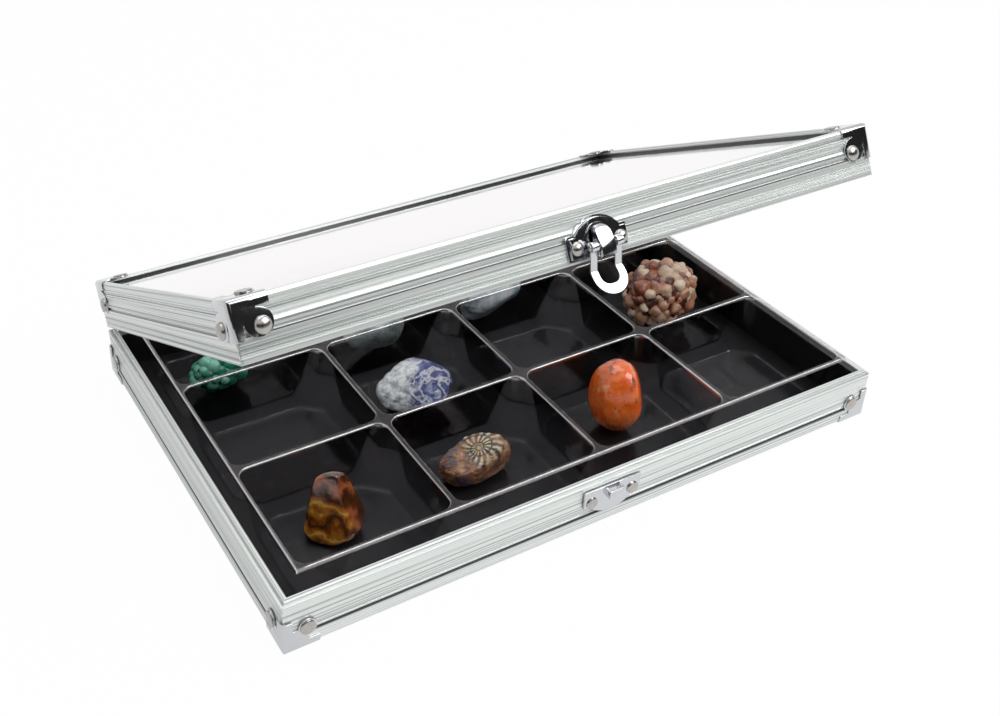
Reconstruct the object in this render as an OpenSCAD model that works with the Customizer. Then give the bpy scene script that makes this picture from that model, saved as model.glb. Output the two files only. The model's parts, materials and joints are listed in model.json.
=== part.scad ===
// Mineral specimen box: a shallow aluminium display case with a glazed lid, a clear tray of
// twelve cells, chromed corner brackets, two back hinges and a draw latch.
// The frame is +Z up with the front towards -Y. The origin is the centre of the resting face.

/* [Case] */
// Outside width of the frame
case_w = 345; // [300:1:420]
// Outside depth of the frame, front to back
case_d = 235; // [200:1:290]
// Height of the base frame, without its bracket feet
base_h = 27; // [25:0.5:34]
// Height of the lid frame
lid_h = 26; // [25:0.5:32]
// Gap between lid and base when closed
close_gap = 0.3; // [0.2:0.05:0.6]
// Angle at which the lid stands open
lid_open = 27; // [0:1:60]

/* [Frame rails] */
// Thickness of the rails, outer face to inner face
rail_t = 4.5; // [4.2:0.1:6]
// Radius of the frame's outer edges and corners
edge_r = 1.8; // [1:0.1:2.4]
// Height of the dark groove on the base rails
base_groove_z = 8.7; // [6:0.1:12]
// Height of the dark groove on the lid rails
lid_groove_z = 11.4; // [10:0.1:12]
// Depth of the dark grooves
groove_depth = 1.1; // [0.5:0.1:1.2]
// Number of fine grooves under the lid's top edge
fine_grooves = 4; // [2:1:5]
// Number of fine ribs along the lid's lower edge
fine_ribs = 6; // [3:1:7]
// Height of the locating lip above the base rim
lip_h = 1; // [0.5:0.1:1.1]

/* [Panels] */
// Thickness of the bottom board
board_t = 3; // [2:0.1:4]
// Thickness of the black lining
lining_t = 0.8; // [0.5:0.1:1.2]
// Height of the lining's upper edge above the resting face
lining_top = 25; // [20:0.5:25]
// Thickness of the clear pane
pane_t = 2; // [1.5:0.1:3]
// Thickness of the black seal over the pane
seal_t = 1.2; // [0.8:0.1:1.6]

/* [Tray] */
// Number of cells across the width
cells_x = 4; // [2:1:6]
// Number of cells from front to back
cells_y = 3; // [2:1:4]
// Height of the tray's rim above the resting face
tray_top = 37; // [30:0.5:42]
// Width of a divider at the rim
divider_t = 3; // [2:0.1:5]
// Wall thickness of the tray
tray_wall = 0.8; // [0.6:0.1:1.2]
// Gap from the frame's outer face to the tray rim, left and right
tray_margin_x = 11; // [7:0.5:16]
// Gap from the frame's outer face to the tray rim, front and back
tray_margin_y = 8.5; // [7:0.5:14]
// Width of the flat rim around the cells
tray_rim = 2.2; // [1.5:0.1:4]
// How far each cell wall leans in from rim to floor
cell_taper = 3.6; // [2:0.1:6]
// Corner radius of a cell at the rim
cell_r = 6; // [3:0.5:9]
// Length cut off each corner of a cell floor
floor_cut = 11; // [6:0.5:14]

/* [Corner brackets] */
// Length of each bracket leg
leg_l = 17; // [15:0.5:20]
// Width of the straight arms
arm_w = 4.4; // [3:0.1:6]
// Distance of a base or top rivet from both edges
lobe_at = 11.4; // [10:0.1:13]
// Radius of the lobe around a base or top rivet
lobe_r = 4.5; // [4.2:0.1:6]
// Distance of a lid's upright rivet from both edges
lid_rivet_at = 12.4; // [11:0.1:13]
// Radius of the broad lobe on a lid's upright leg
lid_lobe_r = 6.3; // [5:0.1:6.5]
// Sheet thickness of the brackets
leg_t = 0.8; // [0.6:0.1:1.2]

/* [Rivets] */
// Head radius on the latch, the strike and the hinges
head_r = 3.2; // [2.5:0.1:3.6]
// Head radius on the corner brackets
corner_head_r = 3.8; // [3:0.1:4]
// Height of a domed head
dome_h = 2.1; // [1.2:0.1:2.6]
// Height of a flat head
flat_h = 0.8; // [0.5:0.1:1.2]
// Shank radius
shank_r = 1.6; // [1.2:0.1:2]
// Clearance around a shank
shank_gap = 0.05; // [0.03:0.01:0.1]

/* [Hinges] */
// Distance of each hinge from the middle
hinge_x = 105; // [70:1:125]
// Width of a hinge
hinge_w = 32; // [24:1:40]
// Height of a hinge leaf
leaf_h = 13; // [11:0.5:16]
// Thickness of a hinge leaf
leaf_t = 1; // [0.8:0.1:1.4]
// Radius of the hinge barrel
barrel_r = 2.4; // [2:0.1:3]
// Radius of the hinge pin
hinge_pin_r = 1.2; // [0.8:0.1:1.4]
// Distance of the hinge axis behind the frame
hinge_out = 3; // [2.8:0.1:4]

/* [Latch] */
// Width of the latch plate and the strike plate
plate_w = 33; // [30:0.5:40]
// Distance between the two rivets of a plate
plate_rivets = 24.2; // [22:0.1:28]
// Distance of the loop pin in front of the lid
loop_pin_out = 7; // [6.5:0.1:8]
// Height of the loop pin above the lid's lower edge
loop_pin_z = 6.6; // [6:0.1:7.5]
// Distance of the lever pivot in front of the lid
pivot_out = 5.8; // [5:0.1:6.2]
// Height of the lever pivot above the lid's lower edge
pivot_z = 2.7; // [2.4:0.1:3]
// Radius of both latch pins
latch_pin_r = 1; // [0.8:0.05:1.1]
// Width of the lever
lever_w = 7.8; // [7:0.1:8.4]
// Height of the lever's tip above the lid's lower edge
lever_top = 15.6; // [14:0.1:17]
// Sheet thickness of the lever
lever_t = 0.9; // [0.7:0.1:1.1]
// Sheet thickness of the loop
loop_t = 1; // [0.8:0.1:1.2]
// Half of the loop's inner width
loop_in = 5; // [4.9:0.1:5.5]
// Width of the loop's legs
loop_leg_w = 3.5; // [3.2:0.1:4.6]
// Length from the loop pin to the bend
loop_drop = 11.8; // [10:0.1:12]
// Length from the bend to the inside of the loop's bow
bow_in = 7.8; // [7:0.1:9]
// Width of the bow at its middle
bow_w = 5; // [4.5:0.1:6]
// Corner radius of the loop's window
window_r = 4.1; // [2:0.1:4.2]
// Angle of the loop's bow to its legs
bow_angle = 45; // [40:1:50]
// Angle at which the loop hangs behind the lid's own upright
loop_hang = 18.5; // [15:0.5:20]

/* [Strike] */
// Half of the staple's width
staple_half = 4.4; // [4:0.1:4.5]
// How far the staple stands out from the base
staple_out = 5; // [4.8:0.1:5.6]
// Height of the staple
staple_h = 4.6; // [4:0.1:5]
// Sheet thickness of the strike
strike_t = 1.2; // [1:0.1:1.4]
// Gap between the latched loop and the staple
catch_gap = 0.35; // [0.25:0.05:0.6]

/* [Hidden] */

aluminium = [0.80, 0.82, 0.81];
chrome = [0.72, 0.73, 0.75];
black = [0.06, 0.06, 0.07];
clear = [0.85, 0.87, 0.90, 0.35];

eps = 0.01;
fine = 48;
side_clear = 0.2;
wall_grip = 2.4;
hole_r = shank_r + shank_gap;

// Heights of the lid's glazing slot above the lid's lower edge
lip_under = lid_h - 2;
slot_top = lip_under;
pane_top = slot_top - seal_t - 0.05;
pane_under = pane_top - pane_t;
slot_bottom = pane_under - 0.05;
slot_u = 2.3;

// The rails stand on the bracket feet
rail_z = leg_t;
rim_z = rail_z + base_h;

// The hinge axis, and the frame in which the lid is drawn closed
hinge_y = case_d / 2 + hinge_out;
hinge_z = rim_z + close_gap / 2;
lid_z = rim_z + close_gap;

// The latch in the closed lid's frame
lid_front = -case_d / 2;
pivot_at = [0, lid_front - pivot_out, lid_z + pivot_z];
loop_pin_at = [0, lid_front - loop_pin_out, lid_z + loop_pin_z];
bow_r_out = loop_in + loop_leg_w + 0.3;
bow_out = bow_in + bow_w;

// The height of the latched bow, and with it the staple, whose lower corners it meets
bow_catch = bow_in - window_r + sqrt(pow(window_r, 2) - pow(max(0, staple_half - loop_in + window_r), 2));
bow_reach = [bow_catch * sin(bow_angle), loop_drop + bow_catch * cos(bow_angle)];
bow_len = norm(bow_reach);
catch_y = 3.9;
catch_tilt = asin((loop_pin_out - catch_y) / bow_len);
staple_bottom = lid_z + loop_pin_z - bow_len * cos(catch_tilt) + catch_gap;
staple_top = staple_bottom + staple_h;

function arc(c, r, from, to, n) =
    [for (i = [0:n]) c + r * [cos(from + (to - from) * i / n), sin(from + (to - from) * i / n)]];

// A shallow hollow in an outer face, from height z0 down to z1
function hollow(z0, z1, depth, n) =
    [for (i = [0:n]) [depth * sin(180 * i / n), z0 + (z1 - z0) * i / n]];

// Small V grooves in an outer face, from the height z downwards
function v_grooves(z, count, pitch, width, depth) =
    [for (i = [0:count - 1]) each [
        [0, z - i * pitch], [depth, z - i * pitch - width / 2], [0, z - i * pitch - width]]];

// Rail sections: x runs inwards from the outer face, y runs up
base_section = concat(
    [[edge_r, 0], [2.2, 0], [2.2, board_t - rail_z + 0.1], [rail_t, board_t - rail_z + 0.1]],
    [[rail_t, base_h + lip_h - 0.4], [rail_t - 0.4, base_h + lip_h]],
    [[2.5, base_h + lip_h], [2.1, base_h + lip_h - 0.4], [2.1, base_h - 0.3]],
    [[1.6, base_h - 0.9], [1.1, base_h - 0.4], [1.1, base_h], [0.3, base_h]],
    hollow(base_h - 0.3, base_groove_z + 2.2, 0.55, 12),
    [[0.3, base_groove_z + 1.9], [0.3, base_groove_z + 1.5], [0, base_groove_z + 1.3]],
    [[0, base_groove_z + 0.7], [groove_depth, base_groove_z + 0.5]],
    [[groove_depth, base_groove_z - 0.4], [0, base_groove_z - 0.7]],
    arc([edge_r, edge_r], edge_r, 180, 270, 8)
);

lid_section = concat(
    [[0.3, 0], [1.4, 0], [1.6, 0.2], [1.6, lip_h + 0.4], [rail_t, lip_h + 0.4]],
    [[rail_t, slot_bottom], [slot_u - 0.1, slot_bottom], [slot_u - 0.1, slot_top]],
    [[rail_t - 0.3, slot_top], [rail_t - 0.3, slot_top + 0.5], [edge_r + 0.5, lid_h]],
    arc([edge_r, lid_h - edge_r], edge_r, 90, 180, 8),
    v_grooves(lid_h - 3.6, fine_grooves, 1.15, 0.6, 0.4),
    hollow(lid_groove_z + 6.6, lid_groove_z + 3.0, 0.4, 6),
    [[0, lid_groove_z + 2.3], [0.3, lid_groove_z + 2.15], [0, lid_groove_z + 2.0]],
    [[0, lid_groove_z + 0.7], [groove_depth, lid_groove_z + 0.5]],
    [[groove_depth, lid_groove_z - 0.5], [0, lid_groove_z - 0.7]],
    v_grooves(6.9, fine_ribs, 0.8, 0.6, 0.35),
    [[0, 0.3]]
);

// A mitred rail with its outer face on y = 0 and its length along x
module rail(section, length, chamber) {
    intersection() {
        rotate([90, 0, 90])
            translate([0, 0, -length / 2])
                linear_extrude(length)
                    difference() {
                        polygon(section);
                        translate([groove_depth + 1, chamber[0]])
                            square([rail_t - groove_depth - 2, chamber[1] - chamber[0]]);
                    }
        translate([0, 0, -1])
            linear_extrude(60)
                polygon([[-length / 2, 0], [length / 2, 0],
                    [length / 2 - rail_t - 1, rail_t + 1], [-length / 2 + rail_t + 1, rail_t + 1]]);
    }
}

// Everything outside the rounded upright corners of the frame
module corner_waste() {
    for (sx = [-1, 1], sy = [-1, 1])
        translate([sx * (case_w / 2 - edge_r), sy * (case_d / 2 - edge_r), -1])
            difference() {
                scale_free_quadrant(sx, sy);
                translate([0, 0, -1]) cylinder(r = edge_r, h = 64, $fn = fine);
            }
}

// A square post that fills one outer quadrant of a corner
module scale_free_quadrant(sx, sy) {
    translate([sx > 0 ? 0 : -edge_r - 1, sy > 0 ? 0 : -edge_r - 1, 0])
        cube([edge_r + 1, edge_r + 1, 62]);
}

// Turns children drawn for the front (k = 0) to the right, back or left side
module on_side(k) {
    rotate([0, 0, 90 * k])
        translate([0, -(k % 2 == 0 ? case_d : case_w) / 2, 0])
            children();
}

// Mirrors children drawn for the front left corner into the corner (sx, sy)
module in_corner(sx, sy) {
    translate([sx * case_w / 2, sy * case_d / 2, 0])
        mirror([sx > 0 ? 1 : 0, 0, 0])
            mirror([0, sy > 0 ? 1 : 0, 0])
                children();
}

module every_corner() {
    for (sx = [-1, 1], sy = [-1, 1]) in_corner(sx, sy) children();
}

// Draws children in the closed lid's frame, and turns them open with the lid
module in_lid() {
    translate([0, hinge_y, hinge_z])
        rotate([-lid_open, 0, 0])
            translate([0, -hinge_y, -hinge_z])
                children();
}

// Rivets stand on z = 0 with the head up and the shank down
module domed_rivet(grip, head = head_r) {
    r = (head * head + dome_h * dome_h) / (2 * dome_h);
    intersection() {
        translate([0, 0, dome_h - r]) sphere(r = r, $fn = fine);
        cylinder(r = head, h = dome_h + 1, $fn = fine);
    }
    translate([0, 0, -grip]) cylinder(r = shank_r, h = grip + 0.2, $fn = fine);
}

module flat_rivet(grip, head = head_r) {
    cylinder(r = head, h = flat_h - 0.3, $fn = fine);
    translate([0, 0, flat_h - 0.3]) cylinder(r1 = head, r2 = head - 0.4, h = 0.3, $fn = fine);
    translate([0, 0, -grip]) cylinder(r = shank_r, h = grip + 0.2, $fn = fine);
}

// A hole for a shank, downwards from z = 0.5
module rivet_hole(depth) {
    translate([0, 0, -depth]) cylinder(r = hole_r, h = depth + 0.5, $fn = fine);
}

// Outline of one bracket leg, with the corner at the origin
module leg_outline(grow = 0, at = lobe_at, r = lobe_r) {
    translate([-leg_t, -leg_t]) square([leg_l + leg_t + grow, arm_w + leg_t + grow]);
    translate([-leg_t, -leg_t]) square([arm_w + leg_t + grow, leg_l + leg_t + grow]);
    square([at, at]);
    translate([at, at]) circle(r = r + grow, $fn = fine);
}

module round_quadrant(r, s) {
    translate([r, 0]) square([s - r, s]);
    translate([0, r]) square([s, s - r]);
    translate([r, r]) circle(r = r, $fn = fine);
}

// The corner of a block with all three edges rounded
module block_corner(r, s) {
    intersection() {
        linear_extrude(s) round_quadrant(r, s);
        translate([0, s, 0]) rotate([90, 0, 0]) linear_extrude(s) round_quadrant(r, s);
        rotate([90, 0, 90]) linear_extrude(s) round_quadrant(r, s);
    }
}

// A pressed corner bracket around the block corner at the origin, with its three legs
// along +x, +y and +z; its two upright legs have a lobe of their own
module bracket(at, r, rivet_at) {
    reach = leg_l + 2;
    deep = edge_r + leg_t;
    difference() {
        intersection() {
            difference() {
                translate([-leg_t, -leg_t, -leg_t]) block_corner(edge_r + leg_t, reach);
                block_corner(edge_r, reach);
            }
            union() {
                translate([0, 0, -leg_t]) linear_extrude(deep) leg_outline();
                translate([0, edge_r, 0])
                    rotate([90, 0, 0]) linear_extrude(deep) leg_outline(0, at, r);
                translate([-leg_t, 0, 0])
                    rotate([90, 0, 90]) linear_extrude(deep) leg_outline(0, at, r);
            }
        }
        leg_rivet_places(rivet_at) rivet_hole(3);
    }
}

// The places of a bracket's two upright rivets, with z pointing out of the leg
module upright_rivet_places(at) {
    translate([at, -leg_t, at]) rotate([90, 0, 0]) children();
    translate([-leg_t, at, at]) rotate([0, -90, 0]) children();
}

module flat_rivet_place() {
    translate([lobe_at, lobe_at, -leg_t]) rotate([180, 0, 0]) children();
}

module leg_rivet_places(at) {
    upright_rivet_places(at) children();
    flat_rivet_place() children();
}

// The base's brackets carry the rails on their lower legs
module base_bracket() {
    translate([0, 0, rail_z])
        difference() {
            bracket(lobe_at, lobe_r, lobe_at);
            flat_rivet_place() translate([0, 0, -leg_t]) flush_cone(shank_gap);
        }
}

module flush_cone(gap) {
    cylinder(r1 = shank_r + gap, r2 = head_r - 0.2 + gap, h = leg_t, $fn = fine);
}

// The lid's brackets stand on the frame's top edge
module lid_bracket() {
    translate([0, 0, lid_z + lid_h])
        mirror([0, 0, 1]) bracket(lid_rivet_at - 1.4, lid_lobe_r, lid_rivet_at);
}

module base_holes() {
    every_corner()
        translate([0, 0, rail_z]) leg_rivet_places(lobe_at) rivet_hole(leg_t + wall_grip + 0.8);
    plate_rivet_places(lid_front - strike_t, strike_rivet_z) rivet_hole(strike_t + wall_grip + 0.8);
    leaf_rivet_places(-1) rivet_hole(leaf_t + wall_grip + 0.8);
}

module lid_holes() {
    every_corner()
        translate([0, 0, lid_z + lid_h])
            mirror([0, 0, 1])
                upright_rivet_places(lid_rivet_at) rivet_hole(leg_t + wall_grip + 0.8);
    plate_rivet_places(lid_front - plate_t, lid_z + latch_rivet_z)
        rivet_hole(plate_t + wall_grip + 0.8);
    leaf_rivet_places(1) rivet_hole(leaf_t + wall_grip + 0.8);
}

module base_rail(k) {
    color(aluminium)
        difference() {
            translate([0, 0, rail_z])
                on_side(k)
                    rail(base_section, k % 2 == 0 ? case_w : case_d, [board_t + 1.4, base_h - 2.2]);
            corner_waste();
            base_holes();
        }
}

module lid_rail(k) {
    color(aluminium)
        in_lid()
            difference() {
                translate([0, 0, lid_z])
                    on_side(k)
                        rail(lid_section, k % 2 == 0 ? case_w : case_d, [lip_h + 1.6, slot_bottom - 1.2]);
                corner_waste();
                lid_holes();
            }
}

module base_rail_front() { base_rail(0); }
module base_rail_right() { base_rail(1); }
module base_rail_back() { base_rail(2); }
module base_rail_left() { base_rail(3); }
module lid_rail_front() { lid_rail(0); }
module lid_rail_right() { lid_rail(1); }
module lid_rail_back() { lid_rail(2); }
module lid_rail_left() { lid_rail(3); }

module centred_slab(w, d, z0, z1) {
    translate([-w / 2, -d / 2, z0]) cube([w, d, z1 - z0]);
}

// The board sits in the rails' lower rebate, level with the feet, with pockets for their legs
module bottom_board() {
    inset = 2 * (2.2 + side_clear);
    color(black)
        difference() {
            centred_slab(case_w - inset, case_d - inset, 0, board_t);
            every_corner() translate([0, 0, -1]) linear_extrude(1 + leg_t) leg_outline(side_clear);
            base_holes();
        }
}

lining_w = case_w - 2 * (rail_t + 0.1);
lining_d = case_d - 2 * (rail_t + 0.1);
lining_z = board_t + 0.1;

// A black card tray lines the walls and the floor
module base_lining() {
    color(black)
        difference() {
            centred_slab(lining_w, lining_d, lining_z, lining_top);
            centred_slab(lining_w - 2 * lining_t, lining_d - 2 * lining_t,
                lining_z + lining_t, lining_top + 1);
        }
}

tray_w = case_w - 2 * tray_margin_x;
tray_d = case_d - 2 * tray_margin_y;
pitch_x = (tray_w - 2 * tray_rim + divider_t) / cells_x;
pitch_y = (tray_d - 2 * tray_rim + divider_t) / cells_y;
mouth_w = pitch_x - divider_t;
mouth_d = pitch_y - divider_t;
tray_floor_z = lining_z + lining_t;

function cell_centre(i, j) =
    [(i - (cells_x - 1) / 2) * pitch_x, (j - (cells_y - 1) / 2) * pitch_y];

module rounded_slab(w, d, r, z, t) {
    translate([0, 0, z])
        linear_extrude(t)
            hull()
                for (sx = [-1, 1], sy = [-1, 1])
                    translate([sx * (w / 2 - r), sy * (d / 2 - r)]) circle(r = r, $fn = 24);
}

module cut_slab(w, d, cut, z, t) {
    translate([0, 0, z])
        linear_extrude(t)
            polygon([for (q = [[1, 1], [-1, 1], [-1, -1], [1, -1]])
                each (q.x * q.y > 0
                    ? [[q.x * w / 2, q.y * (d / 2 - cut)], [q.x * (w / 2 - cut), q.y * d / 2]]
                    : [[q.x * (w / 2 - cut), q.y * d / 2], [q.x * w / 2, q.y * (d / 2 - cut)]])]);
}

// A tapered cell: round corners at the mouth, cut corners at the floor
module cell(grow, z0, z1) {
    hull() {
        rounded_slab(mouth_w + 2 * grow, mouth_d + 2 * grow, cell_r + grow, z1 - eps, eps);
        cut_slab(mouth_w - 2 * cell_taper + 2 * grow, mouth_d - 2 * cell_taper + 2 * grow,
            floor_cut + 0.4 * grow, z0, eps);
    }
}

module specimen_tray() {
    color(clear)
        difference() {
            union() {
                rounded_slab(tray_w, tray_d, 4, tray_top - tray_wall, tray_wall);
                for (i = [0:cells_x - 1], j = [0:cells_y - 1])
                    translate(cell_centre(i, j)) cell(tray_wall, tray_floor_z, tray_top - eps);
            }
            for (i = [0:cells_x - 1], j = [0:cells_y - 1])
                translate(cell_centre(i, j))
                    cell(0, tray_floor_z + tray_wall, tray_top + 0.02);
        }
}

module base_corner(sx, sy) {
    color(chrome) in_corner(sx, sy) base_bracket();
}

module lid_corner(sx, sy) {
    color(chrome) in_lid() in_corner(sx, sy) lid_bracket();
}

module base_corner_front_left() { base_corner(-1, -1); }
module base_corner_front_right() { base_corner(1, -1); }
module base_corner_back_left() { base_corner(-1, 1); }
module base_corner_back_right() { base_corner(1, 1); }
module lid_corner_front_left() { lid_corner(-1, -1); }
module lid_corner_front_right() { lid_corner(1, -1); }
module lid_corner_back_left() { lid_corner(-1, 1); }
module lid_corner_back_right() { lid_corner(1, 1); }

module base_corner_rivets() {
    color(chrome)
        every_corner()
            translate([0, 0, rail_z]) {
                upright_rivet_places(lobe_at) flat_rivet(leg_t + wall_grip, corner_head_r);
                flat_rivet_place()
                    translate([0, 0, -leg_t]) {
                        flush_cone(0);
                        translate([0, 0, leg_t - board_t])
                            cylinder(r = shank_r, h = board_t - leg_t + 0.1, $fn = fine);
                    }
            }
}

// The top rivets have a collar that stands on the pane, and a tail beneath it
module collared_rivet() {
    to_pane = lid_h - pane_top;
    flat_rivet(leg_t + to_pane + pane_t, corner_head_r);
    translate([0, 0, -leg_t - to_pane]) cylinder(r = head_r - 0.6, h = to_pane, $fn = fine);
    translate([0, 0, -leg_t - to_pane - pane_t - 0.8]) cylinder(r = head_r - 0.6, h = 0.8, $fn = fine);
}

module lid_corner_rivets() {
    color(chrome)
        in_lid()
            every_corner()
                translate([0, 0, lid_z + lid_h])
                    mirror([0, 0, 1]) {
                        upright_rivet_places(lid_rivet_at)
                            domed_rivet(leg_t + wall_grip, corner_head_r);
                        flat_rivet_place() collared_rivet();
                    }
}

module lid_pane() {
    inset = 2 * slot_u;
    color(clear)
        in_lid()
            difference() {
                centred_slab(case_w - inset, case_d - inset, lid_z + pane_under, lid_z + pane_top);
                every_corner()
                    translate([lobe_at, lobe_at, lid_z + pane_under - 1])
                        cylinder(r = hole_r, h = pane_t + 2, $fn = fine);
            }
}

module pane_seal() {
    inset = 2 * slot_u;
    inner = 2 * (rail_t + 0.7);
    color(black)
        in_lid()
            difference() {
                centred_slab(case_w - inset, case_d - inset, lid_z + pane_top, lid_z + pane_top + seal_t);
                centred_slab(case_w - inner, case_d - inner, lid_z + pane_top - 1, lid_z + lid_h);
            }
}

// Half the height of a hinge barrel's free run above and below the leaves
leaf_gap = 1.75;

module hinge_knuckle(x0, x1) {
    translate([x0, 0, 0])
        rotate([0, 90, 0])
            difference() {
                cylinder(r = barrel_r, h = x1 - x0, $fn = fine);
                translate([0, 0, -1]) cylinder(r = hinge_pin_r + shank_gap, h = x1 - x0 + 2, $fn = fine);
            }
}

// One leaf around the axis at the origin; side is -1 below the axis and 1 above it
module hinge_leaf(side, knuckles) {
    z_low = side > 0 ? leaf_gap : -leaf_gap - leaf_h;
    difference() {
        union() {
            translate([-hinge_w / 2, -hinge_out, z_low]) cube([hinge_w, leaf_t, leaf_h]);
            for (k = knuckles)
                difference() {
                    translate([k[0], -hinge_out, side > 0 ? leaf_gap : -barrel_r])
                        cube([k[1] - k[0], hinge_out, barrel_r - leaf_gap]);
                    translate([k[0] - 1, 0, 0])
                        rotate([0, 90, 0]) cylinder(r = hinge_pin_r + 0.3, h = k[1] - k[0] + 2, $fn = fine);
                }
            for (k = knuckles) hinge_knuckle(k[0], k[1]);
        }
        for (sx = [-1, 1])
            translate([sx * hinge_w * 0.3, -hinge_out, side * (leaf_gap + leaf_h / 2)])
                rotate([-90, 0, 0]) translate([0, 0, -1]) cylinder(r = hole_r, h = leaf_t + 2, $fn = fine);
    }
}

// Thirds of the hinge: the outer two belong to the base, the middle one to the lid
outer_thirds = [[-hinge_w / 2, -hinge_w / 6 - 0.15], [hinge_w / 6 + 0.15, hinge_w / 2]];
middle_third = [[-hinge_w / 6 + 0.15, hinge_w / 6 - 0.15]];

module at_hinge(sx) {
    translate([sx * hinge_x, hinge_y, hinge_z]) children();
}

module leaf_rivet_places(side) {
    for (hx = [-1, 1], sx = [-1, 1])
        at_hinge(hx)
            translate([sx * hinge_w * 0.3, -hinge_out + leaf_t, side * (leaf_gap + leaf_h / 2)])
                rotate([-90, 0, 0]) children();
}

module base_leaf(sx) { color(chrome) at_hinge(sx) hinge_leaf(-1, outer_thirds); }
module lid_leaf(sx) { color(chrome) in_lid() at_hinge(sx) hinge_leaf(1, middle_third); }
module hinge_leaf_base_left() { base_leaf(-1); }
module hinge_leaf_base_right() { base_leaf(1); }
module hinge_leaf_lid_left() { lid_leaf(-1); }
module hinge_leaf_lid_right() { lid_leaf(1); }
module hinge_rivets_base() { color(chrome) leaf_rivet_places(-1) flat_rivet(leaf_t + wall_grip); }
module hinge_rivets_lid() { color(chrome) in_lid() leaf_rivet_places(1) flat_rivet(leaf_t + wall_grip); }

module hinge_pin(sx) {
    color(chrome)
        at_hinge(sx) {
            translate([-hinge_w / 2 - 0.2, 0, 0])
                rotate([0, 90, 0]) cylinder(r = hinge_pin_r, h = hinge_w + 0.4, $fn = fine);
            for (s = [-1, 1])
                translate([s * (hinge_w / 2 + 0.5) - 0.4, 0, 0])
                    rotate([0, 90, 0]) cylinder(r = hinge_pin_r + 0.5, h = 0.8, $fn = fine);
        }
}

module hinge_pin_left() { hinge_pin(-1); }
module hinge_pin_right() { hinge_pin(1); }

// The latch: sizes of the plate, measured from the lid's lower edge
plate_t = 2.4;
plate_low = 1.3;
plate_shoulder = 13;
plate_crown = 19.8;
latch_rivet_z = 7;
crown_half = 13.2;
strike_side = 9.8;
strike_belly = 5.8;
strike_top = min(rim_z - 2.4, staple_top + 1);
strike_rivet_z = strike_top - 7.4;

// A plate with two square shoulders and an arched crown, drawn in x and z
module crown_outline(inset, low, shoulder, crown) {
    rise = crown - shoulder;
    r = (crown_half * crown_half + rise * rise) / (2 * rise);
    translate([-plate_w / 2 + inset, low + inset]) square([plate_w - 2 * inset, shoulder - low - 2 * inset]);
    intersection() {
        translate([0, crown - r]) circle(r = r - inset, $fn = 96);
        translate([-crown_half + inset, low + inset]) square([2 * (crown_half - inset), crown - low]);
    }
}

// Extrudes a shape drawn in x and z, forwards from the plane y
module from_plane(y, t) {
    translate([0, y, 0]) rotate([90, 0, 0]) linear_extrude(t) children();
}

// Extrudes a shape drawn in y and z along x, about the middle
module across(width) {
    translate([-width / 2, 0, 0]) rotate([90, 0, 90]) linear_extrude(width) children();
}

module plate_rivet_places(y, z) {
    for (s = [-1, 1]) translate([s * plate_rivets / 2, y, z]) rotate([90, 0, 0]) children();
}

lug_w = lever_w - 2 * lever_t - 0.6;

module latch_plate() {
    color(chrome)
        in_lid()
            difference() {
                union() {
                    from_plane(lid_front, 0.8)
                        translate([0, lid_z]) crown_outline(0, plate_low, plate_shoulder, plate_crown);
                    from_plane(lid_front, plate_t)
                        translate([0, lid_z]) crown_outline(1.1, plate_low, plate_shoulder, plate_crown);
                    across(lug_w) {
                        translate([pivot_at.y, pivot_at.z]) circle(r = 1.9, $fn = fine);
                        translate([pivot_at.y, pivot_at.z - 0.9]) square([pivot_out - 0.5, 2.8]);
                    }
                }
                translate([0, lid_front - plate_t, lid_z])
                    rotate([90, 0, 0])
                        translate([0, 0, -1])
                            linear_extrude(3) lever_well();
                translate([-10, pivot_at.y, pivot_at.z])
                    rotate([0, 90, 0]) cylinder(r = latch_pin_r + shank_gap, h = 20, $fn = fine);
                plate_rivet_places(lid_front - plate_t, lid_z + latch_rivet_z) rivet_hole(4);
            }
}

// The sunk well behind the lever, in x and z above the lid's lower edge
module lever_well() {
    difference() {
        union() {
            translate([0, lever_top - lever_w / 2 - 0.3]) circle(r = lever_w / 2 + 1.3, $fn = fine);
            translate([-lever_w / 2 - 1.3, 7.2]) square([lever_w + 2.6, 5]);
        }
        translate([-20, 0]) square([40, 7.2]);
    }
}

module latch_rivets() {
    color(chrome)
        in_lid()
            plate_rivet_places(lid_front - plate_t, lid_z + latch_rivet_z)
                domed_rivet(plate_t + wall_grip);
}

// The lever's side view in y and z, measured from the lid's front face and lower edge:
// shallow at the tip and deep at the pivot
lever_side = [
    [-pivot_out - 1.4, pivot_z - 1.9],
    [-pivot_out - 3.2, pivot_z - 0.8],
    [-loop_pin_out - 2.3, loop_pin_z],
    [-6.9, lever_top - 3.2],
    [-5.9, lever_top - 1.2],
    [-4.6, lever_top],
    [-3.3, lever_top],
    [-3.3, loop_pin_z + 3.4],
    [-pivot_out + 1.9, pivot_z + 2],
    [-pivot_out + 2, pivot_z - 0.8],
    [-pivot_out + 1.4, pivot_z - 1.9],
];

function shifted(points, by) = [for (q = points) q + by];

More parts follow.
